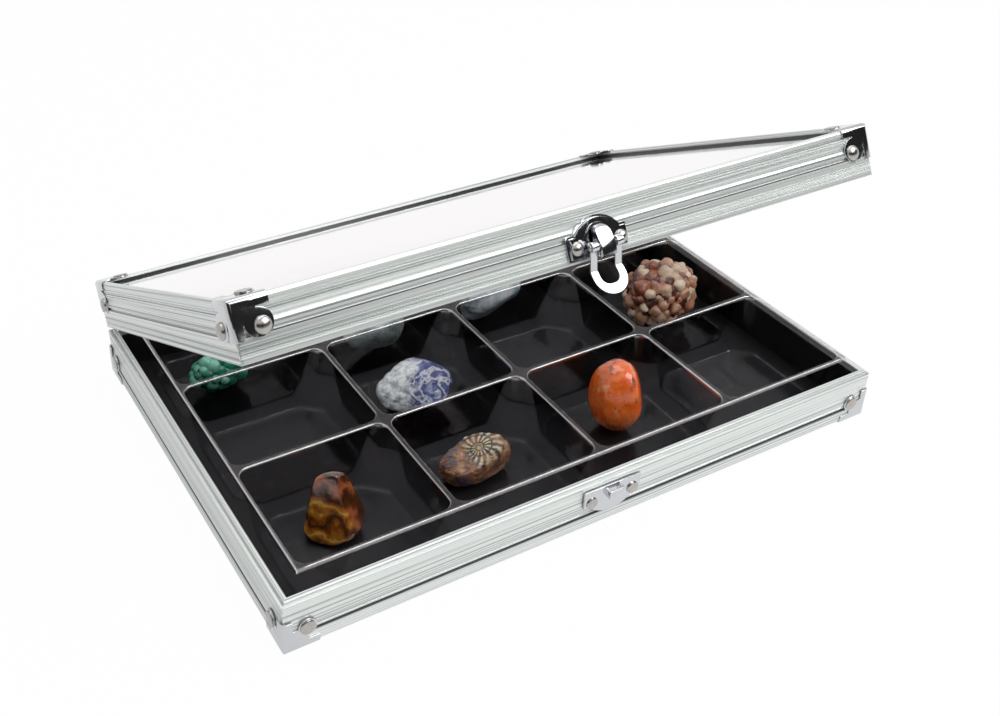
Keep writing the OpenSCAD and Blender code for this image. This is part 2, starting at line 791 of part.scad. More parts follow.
module latch_lever() {
    heel = [lid_front, lid_z];
    color(chrome)
        in_lid()
            difference() {
                intersection() {
                    across(lever_w) polygon(shifted(lever_side, heel));
                    from_plane(lid_front + 1, 20)
                        translate([0, lid_z]) {
                            translate([0, lever_top - lever_w / 2]) circle(r = lever_w / 2, $fn = fine);
                            translate([-lever_w / 2, -5]) square([lever_w, lever_top - lever_w / 2 + 5]);
                        }
                }
                intersection() {
                    across(lever_w - 2 * lever_t)
                        polygon(shifted(lever_side, heel + [lever_t, 0]));
                    translate([-lever_w, lid_front - 20, lid_z - 5])
                        cube([2 * lever_w, 21, lever_top + 2.6]);
                }
                across(lever_w - 2 * lever_t)
                    translate([pivot_at.y - 2.2, pivot_at.z - 3]) square([6, 6]);
                translate([-10, pivot_at.y, pivot_at.z])
                    rotate([0, 90, 0]) cylinder(r = latch_pin_r + shank_gap, h = 20, $fn = fine);
                translate([-10, loop_pin_at.y, loop_pin_at.z])
                    rotate([0, 90, 0]) cylinder(r = latch_pin_r + shank_gap, h = 20, $fn = fine);
            }
}

// A headed pin along x, centred on the origin
module headed_pin(length) {
    translate([-length / 2, 0, 0]) rotate([0, 90, 0]) cylinder(r = latch_pin_r, h = length, $fn = fine);
    for (s = [-1, 1])
        translate([s * (length / 2 + 0.15) - 0.25, 0, 0])
            rotate([0, 90, 0]) cylinder(r = latch_pin_r + 0.4, h = 0.5, $fn = fine);
}

module lever_pin() {
    color(chrome) in_lid() translate(pivot_at) headed_pin(lever_w + 0.4);
}

module loop_pin() {
    color(chrome) in_lid() translate(loop_pin_at) headed_pin(2 * (loop_in + loop_leg_w) + 0.4);
}

knuckle_r = 2.4;
bow_dir = [-sin(bow_angle), -cos(bow_angle)];
bow_side = [cos(bow_angle), -sin(bow_angle)];
mitre = loop_t / 2 * tan(bow_angle / 2);

// A leg in side view: straight from the pin to the bend, then the first of the bow
leg_side = [
    [-loop_t / 2, 0],
    [-loop_t / 2, mitre - loop_drop],
    [0, -loop_drop] + 1.5 * bow_dir - bow_side * loop_t / 2,
    [0, -loop_drop] + 1.5 * bow_dir + bow_side * loop_t / 2,
    [loop_t / 2, -mitre - loop_drop],
    [loop_t / 2, 0],
];

// The loop hangs along -z from its pin at the origin, with the bow bent forwards
module loop_shape() {
    for (s = [-1, 1])
        translate([s * (loop_in + loop_leg_w / 2), 0, 0])
            across(loop_leg_w)
                difference() {
                    union() {
                        circle(r = knuckle_r, $fn = fine);
                        polygon(leg_side);
                    }
                    circle(r = latch_pin_r + shank_gap, $fn = fine);
                }
    translate([0, 0, -loop_drop])
        rotate([-bow_angle, 0, 0])
            translate([0, loop_t / 2, 0])
                rotate([90, 0, 0])
                    linear_extrude(loop_t) bow_outline();
}

// The bow in its own plane, hanging along -y from the bend
module bow_outline() {
    difference() {
        union() {
            translate([0, -bow_out + bow_r_out]) circle(r = bow_r_out, $fn = 72);
            translate([-bow_r_out, -bow_out + bow_r_out]) square([2 * bow_r_out, bow_out - bow_r_out - 0.7]);
        }
        for (s = [-1, 1])
            translate([s * (loop_in - window_r), window_r - bow_in]) circle(r = window_r, $fn = fine);
        translate([window_r - loop_in, -bow_in]) square([2 * (loop_in - window_r), bow_in]);
        translate([-loop_in, window_r - bow_in]) square([2 * loop_in, bow_in]);
        translate([-20, -0.7]) square([40, 20]);
    }
}

module latch_loop() {
    color(chrome)
        in_lid()
            translate(loop_pin_at)
                rotate([loop_hang, 0, 0])
                    loop_shape();
}

// The strike: the same plate upside down, with a pressed-out staple open above and below
module strike_plate() {
    color(chrome)
        difference() {
            union() {
                from_plane(lid_front, strike_t)
                    translate([0, strike_top])
                        mirror([0, 1])
                            crown_outline(0, 0, strike_side, strike_side + strike_belly);
                translate([-staple_half, lid_front - staple_out, staple_bottom])
                    difference() {
                        cube([2 * staple_half, staple_out, staple_h]);
                        translate([0.9, 0.9, -1]) cube([2 * staple_half - 1.8, staple_out, staple_h + 2]);
                    }
            }
            plate_rivet_places(lid_front - strike_t, strike_rivet_z) rivet_hole(4);
        }
}

module strike_rivets() {
    color(chrome)
        plate_rivet_places(lid_front - strike_t, strike_rivet_z)
            flat_rivet(strike_t + wall_grip);
}

// Loose stones lie on the cell floors
stone_z = tray_floor_z + tray_wall + 0.1;

module stone(i, j, shift, balls) {
    translate(concat(cell_centre(i, j) + shift, [stone_z]))
        hull()
            for (b = balls) translate([b[0], b[1], b[2]]) sphere(r = b[3], $fn = 20);
}

module specimen_tiger_eye() {
    color([0.45, 0.27, 0.10])
        stone(0, 0, [-1.4, 10.2],
            [[-6, -6, 9, 9], [7, -5, 8, 8], [4, 4, 25, 8], [-7, 6, 11, 8]]);
}

module specimen_ammonite() {
    color([0.45, 0.36, 0.26])
        stone(1, 0, [-2.8, 9.2],
            [[-14, -4, 6, 6], [14, -2, 6, 6], [12, 5, 16, 6], [-10, 5, 15, 6]]);
}

module specimen_jasper() {
    color([0.85, 0.33, 0.10])
        stone(2, 0, [1.8, 7.2], [[-3, -5, 11, 11], [4, -4, 11, 11], [-2, 5, 31, 10], [5, 4, 29, 10]]);
}

module specimen_sodalite() {
    color([0.62, 0.66, 0.78])
        stone(1, 1, [-1.8, 0], [[-15, 5, 7, 7], [14, -8, 7, 7], [-10, 11, 19, 7], [14, 2, 19, 7]]);
}

module specimen_aragonite() {
    color([0.72, 0.50, 0.38])
        stone(3, 1, [7.4, 6], [[-12, -8, 13, 13], [10, -6, 13, 13], [-6, 8, 14, 13], [12, 8, 13, 12],
            [-2, 4, 28, 12], [8, 1, 25, 12]]);
}

module specimen_malachite() {
    color([0.10, 0.42, 0.30])
        stone(0, 2, [-7.4, -6.2], [[-9, -2, 8, 8], [9, 0, 8, 8], [0, 3, 16, 8]]);
}

module specimen_fluorite() {
    color([0.62, 0.70, 0.64])
        stone(1, 2, [5, -14], [[-12, 0, 9, 9], [10, 2, 9, 9], [-2, 3, 18, 8]]);
}

module specimen_prehnite() {
    color([0.66, 0.74, 0.70])
        stone(2, 2, [6, -10], [[-13, -2, 10, 10], [12, 1, 10, 10], [0, 4, 20, 9]]);
}

base_rail_front();
base_rail_back();
base_rail_left();
base_rail_right();
bottom_board();
base_lining();
specimen_tray();
base_corner_front_left();
base_corner_front_right();
base_corner_back_left();
base_corner_back_right();
base_corner_rivets();
strike_plate();
strike_rivets();
hinge_leaf_base_left();
hinge_leaf_base_right();
hinge_rivets_base();
hinge_pin_left();
hinge_pin_right();
lid_rail_front();
lid_rail_back();
lid_rail_left();
lid_rail_right();
lid_pane();
pane_seal();
lid_corner_front_left();
lid_corner_front_right();
lid_corner_back_left();
lid_corner_back_right();
lid_corner_rivets();
hinge_leaf_lid_left();
hinge_leaf_lid_right();
hinge_rivets_lid();
latch_plate();
latch_rivets();
lever_pin();
latch_lever();
loop_pin();
latch_loop();
specimen_tiger_eye();
specimen_ammonite();
specimen_jasper();
specimen_sodalite();
specimen_aragonite();
specimen_malachite();
specimen_fluorite();
specimen_prehnite();
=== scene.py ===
import json
import math
import random

import bmesh
import bpy
from bpy.props import FloatProperty, FloatVectorProperty, IntProperty, PointerProperty
from mathutils import Matrix, Quaternion, Vector, noise


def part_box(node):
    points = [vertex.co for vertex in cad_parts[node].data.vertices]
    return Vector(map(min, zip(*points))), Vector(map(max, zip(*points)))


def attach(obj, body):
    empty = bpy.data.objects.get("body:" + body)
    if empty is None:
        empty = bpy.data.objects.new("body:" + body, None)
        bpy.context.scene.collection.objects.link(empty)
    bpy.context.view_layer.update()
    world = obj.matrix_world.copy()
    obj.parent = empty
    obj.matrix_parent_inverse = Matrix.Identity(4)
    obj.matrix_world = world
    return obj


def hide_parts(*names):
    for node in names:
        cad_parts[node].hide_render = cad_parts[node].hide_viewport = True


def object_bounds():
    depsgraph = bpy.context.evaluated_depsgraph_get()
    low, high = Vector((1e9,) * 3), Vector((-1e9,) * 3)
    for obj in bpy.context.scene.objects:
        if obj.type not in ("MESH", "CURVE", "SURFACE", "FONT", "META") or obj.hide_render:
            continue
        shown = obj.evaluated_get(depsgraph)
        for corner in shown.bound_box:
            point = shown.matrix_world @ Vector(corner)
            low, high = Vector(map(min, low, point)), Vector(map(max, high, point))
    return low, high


bl_info = {
    "name": "Mineral Specimen Box",
    "version": (1, 0, 0),
    "blender": (4, 5, 0),
    "location": "3D View > Sidebar > Specimen Box",
    "description": "Builds a glazed aluminium specimen box with its tray, latch, hinges and stones",
    "category": "Add Mesh",
}

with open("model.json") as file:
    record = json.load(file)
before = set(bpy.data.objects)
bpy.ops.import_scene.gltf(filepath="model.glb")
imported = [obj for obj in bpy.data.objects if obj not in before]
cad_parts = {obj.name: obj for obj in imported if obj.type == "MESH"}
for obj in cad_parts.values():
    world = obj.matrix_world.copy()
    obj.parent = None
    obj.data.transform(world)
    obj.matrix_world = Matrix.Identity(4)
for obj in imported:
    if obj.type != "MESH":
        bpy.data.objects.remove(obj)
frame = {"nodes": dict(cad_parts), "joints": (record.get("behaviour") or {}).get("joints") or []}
CAD_LOW, CAD_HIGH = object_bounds()
MM = 0.001
JOINTS = {joint["name"]: joint for joint in frame["joints"]}
LID_OPEN = -JOINTS["lid_hinge"]["range_deg"][0]
HINGE = Vector(JOINTS["lid_hinge"]["pos_m"])


# ---- places


def lid_way(direction):
    """A direction in the closed lid, turned with the open lid."""
    turned = Vector(direction)
    turned.rotate(Quaternion((1, 0, 0), math.radians(-LID_OPEN)))
    return turned


# ---- meshes


def mesh_object(name, points, faces, smooth=True):
    """A new object at the origin from points in metres."""
    mesh = bpy.data.meshes.new(name)
    mesh.from_pydata([tuple(p) for p in points], [], faces)
    mesh.validate()
    mesh.polygons.foreach_set("use_smooth", [smooth] * len(mesh.polygons))
    item = bpy.data.objects.new(name, mesh)
    bpy.context.scene.collection.objects.link(item)
    return item


def tidy_mesh(item, distance=1e-6, outward=True):
    """Merges doubles and turns the faces outward."""
    work = bmesh.new()
    work.from_mesh(item.data)
    bmesh.ops.remove_doubles(work, verts=work.verts, dist=distance)
    bmesh.ops.dissolve_degenerate(work, edges=work.edges, dist=distance)
    if outward:
        bmesh.ops.recalc_face_normals(work, faces=work.faces)
    work.to_mesh(item.data)
    work.free()


def apply_modifiers(item):
    """Replaces the object's mesh by its evaluated mesh and removes its modifiers."""
    graph = bpy.context.evaluated_depsgraph_get()
    graph.update()
    made = bpy.data.meshes.new_from_object(item.evaluated_get(graph), depsgraph=graph)
    item.modifiers.clear()
    old = item.data
    item.data = made
    made.name = item.name
    if old.users == 0:
        bpy.data.meshes.remove(old)


def shade_by_angle(item, degrees):
    """Smooth faces, with sharp edges where the surface turns by more than the angle."""
    item.data.polygons.foreach_set("use_smooth", [True] * len(item.data.polygons))
    item.data.set_sharp_from_angle(angle=math.radians(degrees))


def paint_node(node, material):
    """Gives a CAD node that stays as it is its material."""
    materials = frame["nodes"][node].data.materials
    materials.clear()
    materials.append(material)


def finish_piece(item, body, material, node):
    """Gives the piece its material, hangs it under its body's empty and hides the CAD node it stands for."""
    item.data.materials.clear()
    item.data.materials.append(material)
    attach(item, body)
    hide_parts(node)
    return item


BEVEL_ANGLE, SMOOTH_ANGLE = 28, 40


def polished_copy(node, body, material, width, segments):
    """A copy of a CAD node with its edges rolled over, so that they catch the light."""
    source = frame["nodes"][node]
    item = bpy.data.objects.new(node + "_finished", source.data.copy())
    bpy.context.scene.collection.objects.link(item)
    tidy_mesh(item, 2e-6, outward=False)
    work = bmesh.new()
    work.from_mesh(item.data)
    bmesh.ops.dissolve_limit(work, angle_limit=math.radians(1.0), verts=work.verts, edges=work.edges)
    work.to_mesh(item.data)
    work.free()
    bevel = item.modifiers.new("Rolled edges", "BEVEL")
    bevel.width = width * MM
    bevel.segments = segments
    bevel.limit_method = "ANGLE"
    bevel.angle_limit = math.radians(BEVEL_ANGLE)
    bevel.use_clamp_overlap = True
    apply_modifiers(item)
    shade_by_angle(item, SMOOTH_ANGLE)
    return finish_piece(item, body, material, node)


# ---- materials


class Graph:
    """A small builder for node trees."""

    def __init__(self, tree):
        self.nodes, self.links = tree.nodes, tree.links
        self.nodes.clear()

    def node(self, kind, values=None, **settings):
        made = self.nodes.new(kind)
        for key, value in settings.items():
            setattr(made, key, value)
        for key, value in (values or {}).items():
            if isinstance(value, bpy.types.NodeSocket):
                self.links.new(value, made.inputs[key])
            else:
                made.inputs[key].default_value = value
        return made

    def math(self, operation, *terms, clamp=False):
        """One step of arithmetic."""
        values = dict(enumerate(terms))
        return self.node("ShaderNodeMath", values, operation=operation, use_clamp=clamp).outputs[0]

    def ranged(self, value, low, high, start=0.0, end=1.0, **settings):
        """A number that runs from start to end as the value runs from low to high."""
        ends = {"Value": value, "From Min": low, "From Max": high, "To Min": start, "To Max": end}
        return self.node("ShaderNodeMapRange", ends, **settings).outputs["Result"]

    def axis(self, vector, index):
        """One coordinate of a vector."""
        return self.node("ShaderNodeSeparateXYZ", {0: vector}).outputs[index]


class Finish(Graph):
    """A builder for materials."""

    def __init__(self, name):
        self.material = bpy.data.materials.new(name)
        self.material.use_nodes = True
        super().__init__(self.material.node_tree)
        self.output = self.nodes.new("ShaderNodeOutputMaterial")

    def place(self):
        """Object coordinates."""
        return self.node("ShaderNodeTexCoord").outputs["Object"]

    def where(self, scale=(1, 1, 1), turn=(0, 0, 0), centre=(0, 0, 0)):
        """Object coordinates, centred, turned and scaled."""
        shift = self.node("ShaderNodeVectorMath", {0: self.place(), 1: centre}, operation="SUBTRACT")
        spun = self.node("ShaderNodeMapping", {"Vector": shift.outputs[0], "Rotation": turn}).outputs[0]
        return self.node("ShaderNodeMapping", {"Vector": spun, "Scale": scale}).outputs[0]

    def noise(self, vector, scale, detail=4, rough=0.5, distortion=0.0):
        values = {"Vector": vector, "Scale": scale, "Detail": detail}
        values.update({"Roughness": rough, "Distortion": distortion})
        return self.node("ShaderNodeTexNoise", values).outputs["Fac"]

    def ramp(self, factor, stops):
        made = self.node("ShaderNodeValToRGB", {"Fac": factor})
        ends = made.color_ramp.elements
        while len(ends) < len(stops):
            ends.new(0.5)
        for end, (place, colour) in zip(ends, stops):
            end.position = place
            end.color = (*colour, 1)
        return made.outputs["Color"]

    def mask(self, factor, low, high, most=1.0):
        """Black where the factor is under low, and a grey of this strength where it is over high."""
        return self.ramp(factor, [(low, (0, 0, 0)), (high, (most,) * 3)])

    def span(self, factor, low, high):
        """A number that runs from low to high as the factor runs from 0 to 1."""
        return self.ranged(factor, 0.0, 1.0, low, high)

    def mix(self, factor, a, b):
        """Colour a where the factor is 0, colour b where it is 1."""
        made = self.node("ShaderNodeMix", data_type="RGBA")
        for key, value in ((0, factor), (6, a), (7, b)):
            if isinstance(value, bpy.types.NodeSocket):
                self.links.new(value, made.inputs[key])
            elif key == 0:
                made.inputs[0].default_value = value
            else:
                made.inputs[key].default_value = (*value, 1)
        return made.outputs[2]

    def bump(self, height, strength, distance, normal=None):
        values = {"Height": height, "Strength": strength, "Distance": distance}
        if normal is not None:
            values["Normal"] = normal
        return self.node("ShaderNodeBump", values).outputs["Normal"]

    def shade(self, colour, rough, normal, **more):
        """The surface; further inputs are given by their names with _ for each space."""
        values = {"Base Color": colour, "Roughness": rough, "Normal": normal}
        values.update({key.replace("_", " "): value for key, value in more.items()})
        made = self.node("ShaderNodeBsdfPrincipled", values)
        return self.finish(made)

    def finish(self, shader):
        self.links.new(shader.outputs[0], self.output.inputs["Surface"])
        return self.material


_finishes = {}


def kept(build):
    """Keeps one material for each name."""

    def wrapper(name, *rest):
        if name not in _finishes:
            _finishes[name] = build(name, *rest)
        return _finishes[name]

    return wrapper


# height of each draw groove's shadow above the base or the hinge line, and its half width, in millimetres
GROOVE_LINES = {"base": (8.7, 0.55), "lid": (10.6, 0.35)}
RIM_BORDER_X, RIM_BORDER_Y = 160.0 * MM, 107.5 * MM


@kept
def extruded_aluminium(name, along, tilt):
    """Satin anodised extrusion with fine draw lines along x (0) or along the depth (1)."""
    look = bpy.context.scene.specimen_metal
    f = Finish(name)
    lines = (14, 1500, 1500) if along == 0 else (1500, 14, 1500)
    place = f.where(lines, (math.radians(tilt), 0, 0))
    draw = f.noise(place, 1.0, 3, 0.6)
    cloud = f.noise(f.where(), 24, 3, 0.55)
    grain = f.noise(f.where(), 2600, 2, 0.5)
    tone = look.rail_colour
    light = [min(1.0, c * 1.03) for c in tone]
    dark = [c * 0.95 for c in tone]
    stripes = (2, 1000, 1000) if along == 0 else (1000, 2, 1000)
    broad = f.noise(f.where(stripes, (math.radians(tilt), 0, 0)), 1.0, 2, 0.7)
    colour = f.mix(f.span(draw, 0.2, 0.8), dark, light)
    colour = f.mix(f.ramp(broad, [(0.38, (0.8, 0.8, 0.8)), (0.50, (0, 0, 0))]), colour, (0.30, 0.33, 0.32))
    colour = f.mix(f.span(cloud, 0.0, 0.15), colour, (0.74, 0.77, 0.74))
    # the shadowed line along the draw groove, measured up the rail
    centre = HINGE if tilt else (0, 0, 0)
    height = f.axis(f.where((1, 1, 1), (math.radians(tilt), 0, 0), centre), 2)
    middle, reach = GROOVE_LINES["lid" if tilt else "base"]
    off = f.math("ABSOLUTE", f.math("SUBTRACT", height, middle * MM))
    line = f.ranged(off, 0.5 * reach * MM, reach * MM, 0.9, 0.0)
    colour = f.mix(line, colour, (0.03, 0.036, 0.036))
    gloss = look.rail_gloss
    rough = f.math("ADD", f.span(draw, gloss - 0.02, gloss + 0.03), f.span(grain, -0.03, 0.03))
    normal = f.bump(draw, 0.06, 0.00003)
    normal = f.bump(grain, 0.04, 0.00002, normal)
    return f.shade(colour, rough, normal, Metallic=look.rail_metal, IOR=1.45)


@kept
def bright_chrome(name):
    """Bright plated steel with slight pressing dents, wipe marks and edge haze."""
    look = bpy.context.scene.specimen_metal
    f = Finish(name)
    place = f.where()
    dents = f.noise(place, 210, 2, 0.4)
    wipes = f.noise(f.where((900, 260, 260), (0.3, 0.4, 0.2)), 1.0, 4, 0.6)
    haze = f.noise(place, 90, 4, 0.6)
    colour = f.mix(f.span(haze, 0, 0.5), look.chrome_colour, [c * 0.86 for c in look.chrome_colour])
    rough = f.math("ADD", f.span(wipes, 0.03, 0.13), f.span(haze, 0.0, 0.06))
    normal = f.bump(dents, 0.25, 0.0004)
    return f.shade(colour, rough, normal, Metallic=1.0)


@kept
def rivet_steel(name):
    """Nickel-plated rivet, duller than the chrome, with fine turning scratches."""
    f = Finish(name)
    place = f.where()
    scratch = f.noise(f.where((700, 700, 2600)), 1.0, 4, 0.65)
    worn = f.noise(place, 420, 3, 0.5)
    colour = f.mix(f.span(worn, 0, 0.9), (0.55, 0.53, 0.51), (0.36, 0.34, 0.32))
    return f.shade(colour, f.span(scratch, 0.14, 0.34), f.bump(scratch, 0.10, 0.00004), Metallic=1.0)


@kept
def black_card(name):
    """Black paper-covered board with a faint tooth and dust."""
    f = Finish(name)
    place = f.where()
    tooth = f.noise(place, 1900, 3, 0.6)
    cloud = f.noise(place, 20, 4, 0.6)
    specks = f.ramp(f.noise(place, 900, 2, 0.5), [(0.0, (0, 0, 0)), (0.80, (0, 0, 0)), (0.84, (1, 1, 1))])
    colour = f.mix(f.span(cloud, 0, 1), (0.006, 0.006, 0.007), (0.013, 0.013, 0.014))
    colour = f.mix(f.span(specks, 0, 0.03), colour, (0.4, 0.4, 0.4))
    return f.shade(
        colour, f.span(cloud, 0.42, 0.6), f.bump(tooth, 0.05, 0.00005), Specular_IOR_Level=0.22,
    )


@kept
def black_rubber(name):
    """Matt black glazing seal."""
    f = Finish(name)
    grain = f.noise(f.where(), 1200, 3, 0.6)
    colour = f.mix(grain, (0.006, 0.006, 0.006), (0.018, 0.018, 0.019))
    return f.shade(
        colour, f.span(grain, 0.55, 0.8), f.bump(grain, 0.1, 0.00005), Coat_Weight=1.0,
        Coat_Roughness=0.12,
    )


def rim_light(f, low, high, rolled_share, side_share, front_share):
    """Extra mirror share near the tray's rim: on its rolled edges and along its outer border."""
    lit = f.ranged(f.axis(f.place(), 2), low, high)
    outer = []
    for axis, reach, most in ((0, RIM_BORDER_X, side_share), (1, RIM_BORDER_Y, front_share)):
        far = f.math("ABSOLUTE", f.axis(f.place(), axis))
        outer.append(f.ranged(far, reach, reach + MM, 0.0, most))
    edge = f.math("MAXIMUM", *outer)
    level = f.axis(f.node("ShaderNodeNewGeometry").outputs["Normal"], 2)
    rolled = f.math("MULTIPLY", f.ranged(level, 0.99, 0.85), f.ranged(level, 0.05, 0.30))
    rolled = f.math("MULTIPLY_ADD", rolled, rolled_share, 0.05)
    return f.math("MULTIPLY", lit, f.math("MAXIMUM", edge, rolled))


def see_through(name, tint, mirrored, gloss, ior, boost, smear, veil, rim=None):
    """Clear sheet: what is behind it shows through, and its outer surface mirrors at a slant."""
    f = Finish(name)
    marks = f.noise(f.where(), smear, 4, 0.6)
    ripple = f.noise(f.where(), 60, 2, 0.4)
    normal = f.bump(ripple, 0.10, 0.0004)
    clear = f.node("ShaderNodeBsdfTransparent", {"Color": (*tint, 1)})
    mirror = f.node(
        "ShaderNodeBsdfPrincipled",
        {
            "Base Color": (*mirrored, 1),
            "Metallic": 1.0,
            "Roughness": f.span(marks, gloss, gloss + 0.08),
            "Normal": normal,
        },
    )
    slant = f.node("ShaderNodeFresnel", {"IOR": ior, "Normal": normal}).outputs[0]
    share = f.math("MULTIPLY_ADD", slant, boost, f.span(marks, 0.0, veil))
    if rim is not None:
        share = f.math("ADD", share, rim_light(f, *rim))
    behind = f.node("ShaderNodeNewGeometry").outputs["Backfacing"]
    outside = f.math("SUBTRACT", 1.0, behind)
    share = f.math("MULTIPLY", share, outside, clamp=True)
    both = f.node("ShaderNodeMixShader", {0: share, 1: clear.outputs[0], 2: mirror.outputs[0]})
    return f.finish(both)


@kept
def tray_plastic(name):
    # heights where the rim's light starts and is full, then the shares of rolled edges, sides and front
    rim = (34.6 * MM, 36.2 * MM, 0.36, 0.62, 0.26)
    return see_through(name, (0.95, 0.95, 0.96), (1.0, 0.98, 0.98), 0.05, 1.45, 0.42, 70, 0.012, rim)


@kept
def pane_glass(name):
    return see_through(name, (0.96, 0.95, 0.955), (0.90, 0.86, 0.872), 0.02, 1.5, 1.8, 30, 0.03)


# ---- sizes


def length_setting(name, description, default, low, high):
    """A length setting: its default in millimetres, its limits in metres."""
    shown = {"name": name, "description": description, "subtype": "DISTANCE", "unit": "LENGTH"}
    return FloatProperty(default=default * MM, min=low, max=high, **shown)


def colour_setting(name, description, default):
    """A colour setting."""
    shown = {"name": name, "description": description, "subtype": "COLOR"}
    return FloatVectorProperty(size=3, min=0, max=1, default=default, **shown)


class SpecimenMetal(bpy.types.PropertyGroup):
    """Colours and gloss of the frame and its fittings."""

    rail_colour: colour_setting("Rail colour", "Colour of the anodised rails", (0.83, 0.86, 0.84))
    rail_gloss: FloatProperty(
        name="Rail roughness", description="Roughness of the rails", default=0.36, min=0.05, max=0.8
    )
    rail_metal: FloatProperty(
        name="Rail metal share",
        description="How much of the rails' light is metallic reflection under the anodised layer",
        default=0.62,
        min=0,
        max=1,
    )
    chrome_colour: colour_setting("Chrome colour", "Colour of the plated fittings", (0.62, 0.63, 0.65))
    rivet_radius: length_setting("Rivet radius", "Radius of a rivet head", 3.2, 0.001, 0.006)
    corner_rivet_radius: length_setting(
        "Corner rivet radius", "Radius of a rivet head on a corner bracket", 3.8, 0.001, 0.006
    )
    flat_height: length_setting("Flat height", "Height of a flat rivet head", 0.8, 0.0003, 0.002)
    dome_height: length_setting("Dome height", "Height of a domed rivet head", 2.1, 0.0005, 0.004)


class SpecimenTray(bpy.types.PropertyGroup):
    """Sizes of the clear tray."""

    cells_x: IntProperty(name="Cells across", description="Cells across the width", default=4, min=1, max=6)
    cells_y: IntProperty(name="Cells deep", description="Cells from front to back", default=3, min=1, max=4)
    divider: length_setting("Divider", "Width of a divider at the rim", 3.0, 0.001, 0.006)
    wall: length_setting("Wall", "Thickness of the formed sheet", 0.7, 0.0003, 0.002)
    taper: length_setting("Taper", "How far each wall leans in from rim to floor", 3.6, 0.0, 0.01)
    floor_cut: length_setting(
        "Floor corner cut", "Length cut off each corner of a cell floor", 11.0, 0.001, 0.02
    )


class SpecimenStage(bpy.types.PropertyGroup):
    """Light and floor."""

    key_power: FloatProperty(
        name="Key light", description="Power of the large soft light", default=15.0, min=0, max=200
    )
    fill_power: FloatProperty(
        name="Top light", description="Power of the light above and behind", default=6.0, min=0, max=200
    )
    world_level: FloatProperty(
        name="World", description="Brightness of the surroundings", default=0.35, min=0, max=3
    )


# ---- frame


RAIL_DIRECTIONS = {"front": 0, "back": 0, "left": 1, "right": 1}


class SPECIMEN_OT_rails(bpy.types.Operator):
    """Finish the extruded rails of the base and the lid"""

    bl_idname = "specimen.rails"
    bl_label = "Rails"

    def execute(self, context):
        for part, tilt in (("base", 0), ("lid", LID_OPEN)):
            for side, along in RAIL_DIRECTIONS.items():
                direction = "deep" if along else "across"
                paint_node(f"{part}_rail_{side}", extruded_aluminium(f"{part} rail {direction}", along, tilt))
        return {"FINISHED"}


class SPECIMEN_OT_panels(bpy.types.Operator):
    """Finish the bottom board, the lining, the pane and its seal"""

    bl_idname = "specimen.panels"
    bl_label = "Board, lining and pane"

    def execute(self, context):
        for name, tone in (
            ("bottom_board", black_card("Black board")),
            ("base_lining", black_card("Black lining")),
            ("pane_seal", black_rubber("Black seal")),
            ("lid_pane", pane_glass("Clear pane")),
        ):
            paint_node(name, tone)
        return {"FINISHED"}


class SPECIMEN_OT_fittings(bpy.types.Operator):
    """Finish the corner brackets, hinges, strike and pins with rolled edges"""

    bl_idname = "specimen.fittings"
    bl_label = "Fittings"

    def execute(self, context):
        chrome = bright_chrome("Bright chrome")
        fittings = []
        for part in ("base", "lid"):
            for corner in ("front_left", "front_right", "back_left", "back_right"):
                fittings.append((f"{part}_corner_{corner}", part, 0.3, 3))
            for side in ("left", "right"):
                fittings.append((f"hinge_leaf_{part}_{side}", part, 0.15, 2))
        fittings += [
            ("hinge_pin_left", "base", 0.12, 2),
            ("hinge_pin_right", "base", 0.12, 2),
            ("strike_plate", "base", 0.3, 3),
            ("lever_pin", "lid", 0.1, 2),
            ("loop_pin", "loop_pin", 0.1, 2),
            ("latch_plate", "lid", 0.3, 3),
            ("latch_lever", "latch_lever", 0.3, 3),
            ("latch_loop", "latch_loop", 0.3, 3),
        ]
        for node, body, width, segments in fittings:
            polished_copy(node, body, chrome, width, segments)
        return {"FINISHED"}


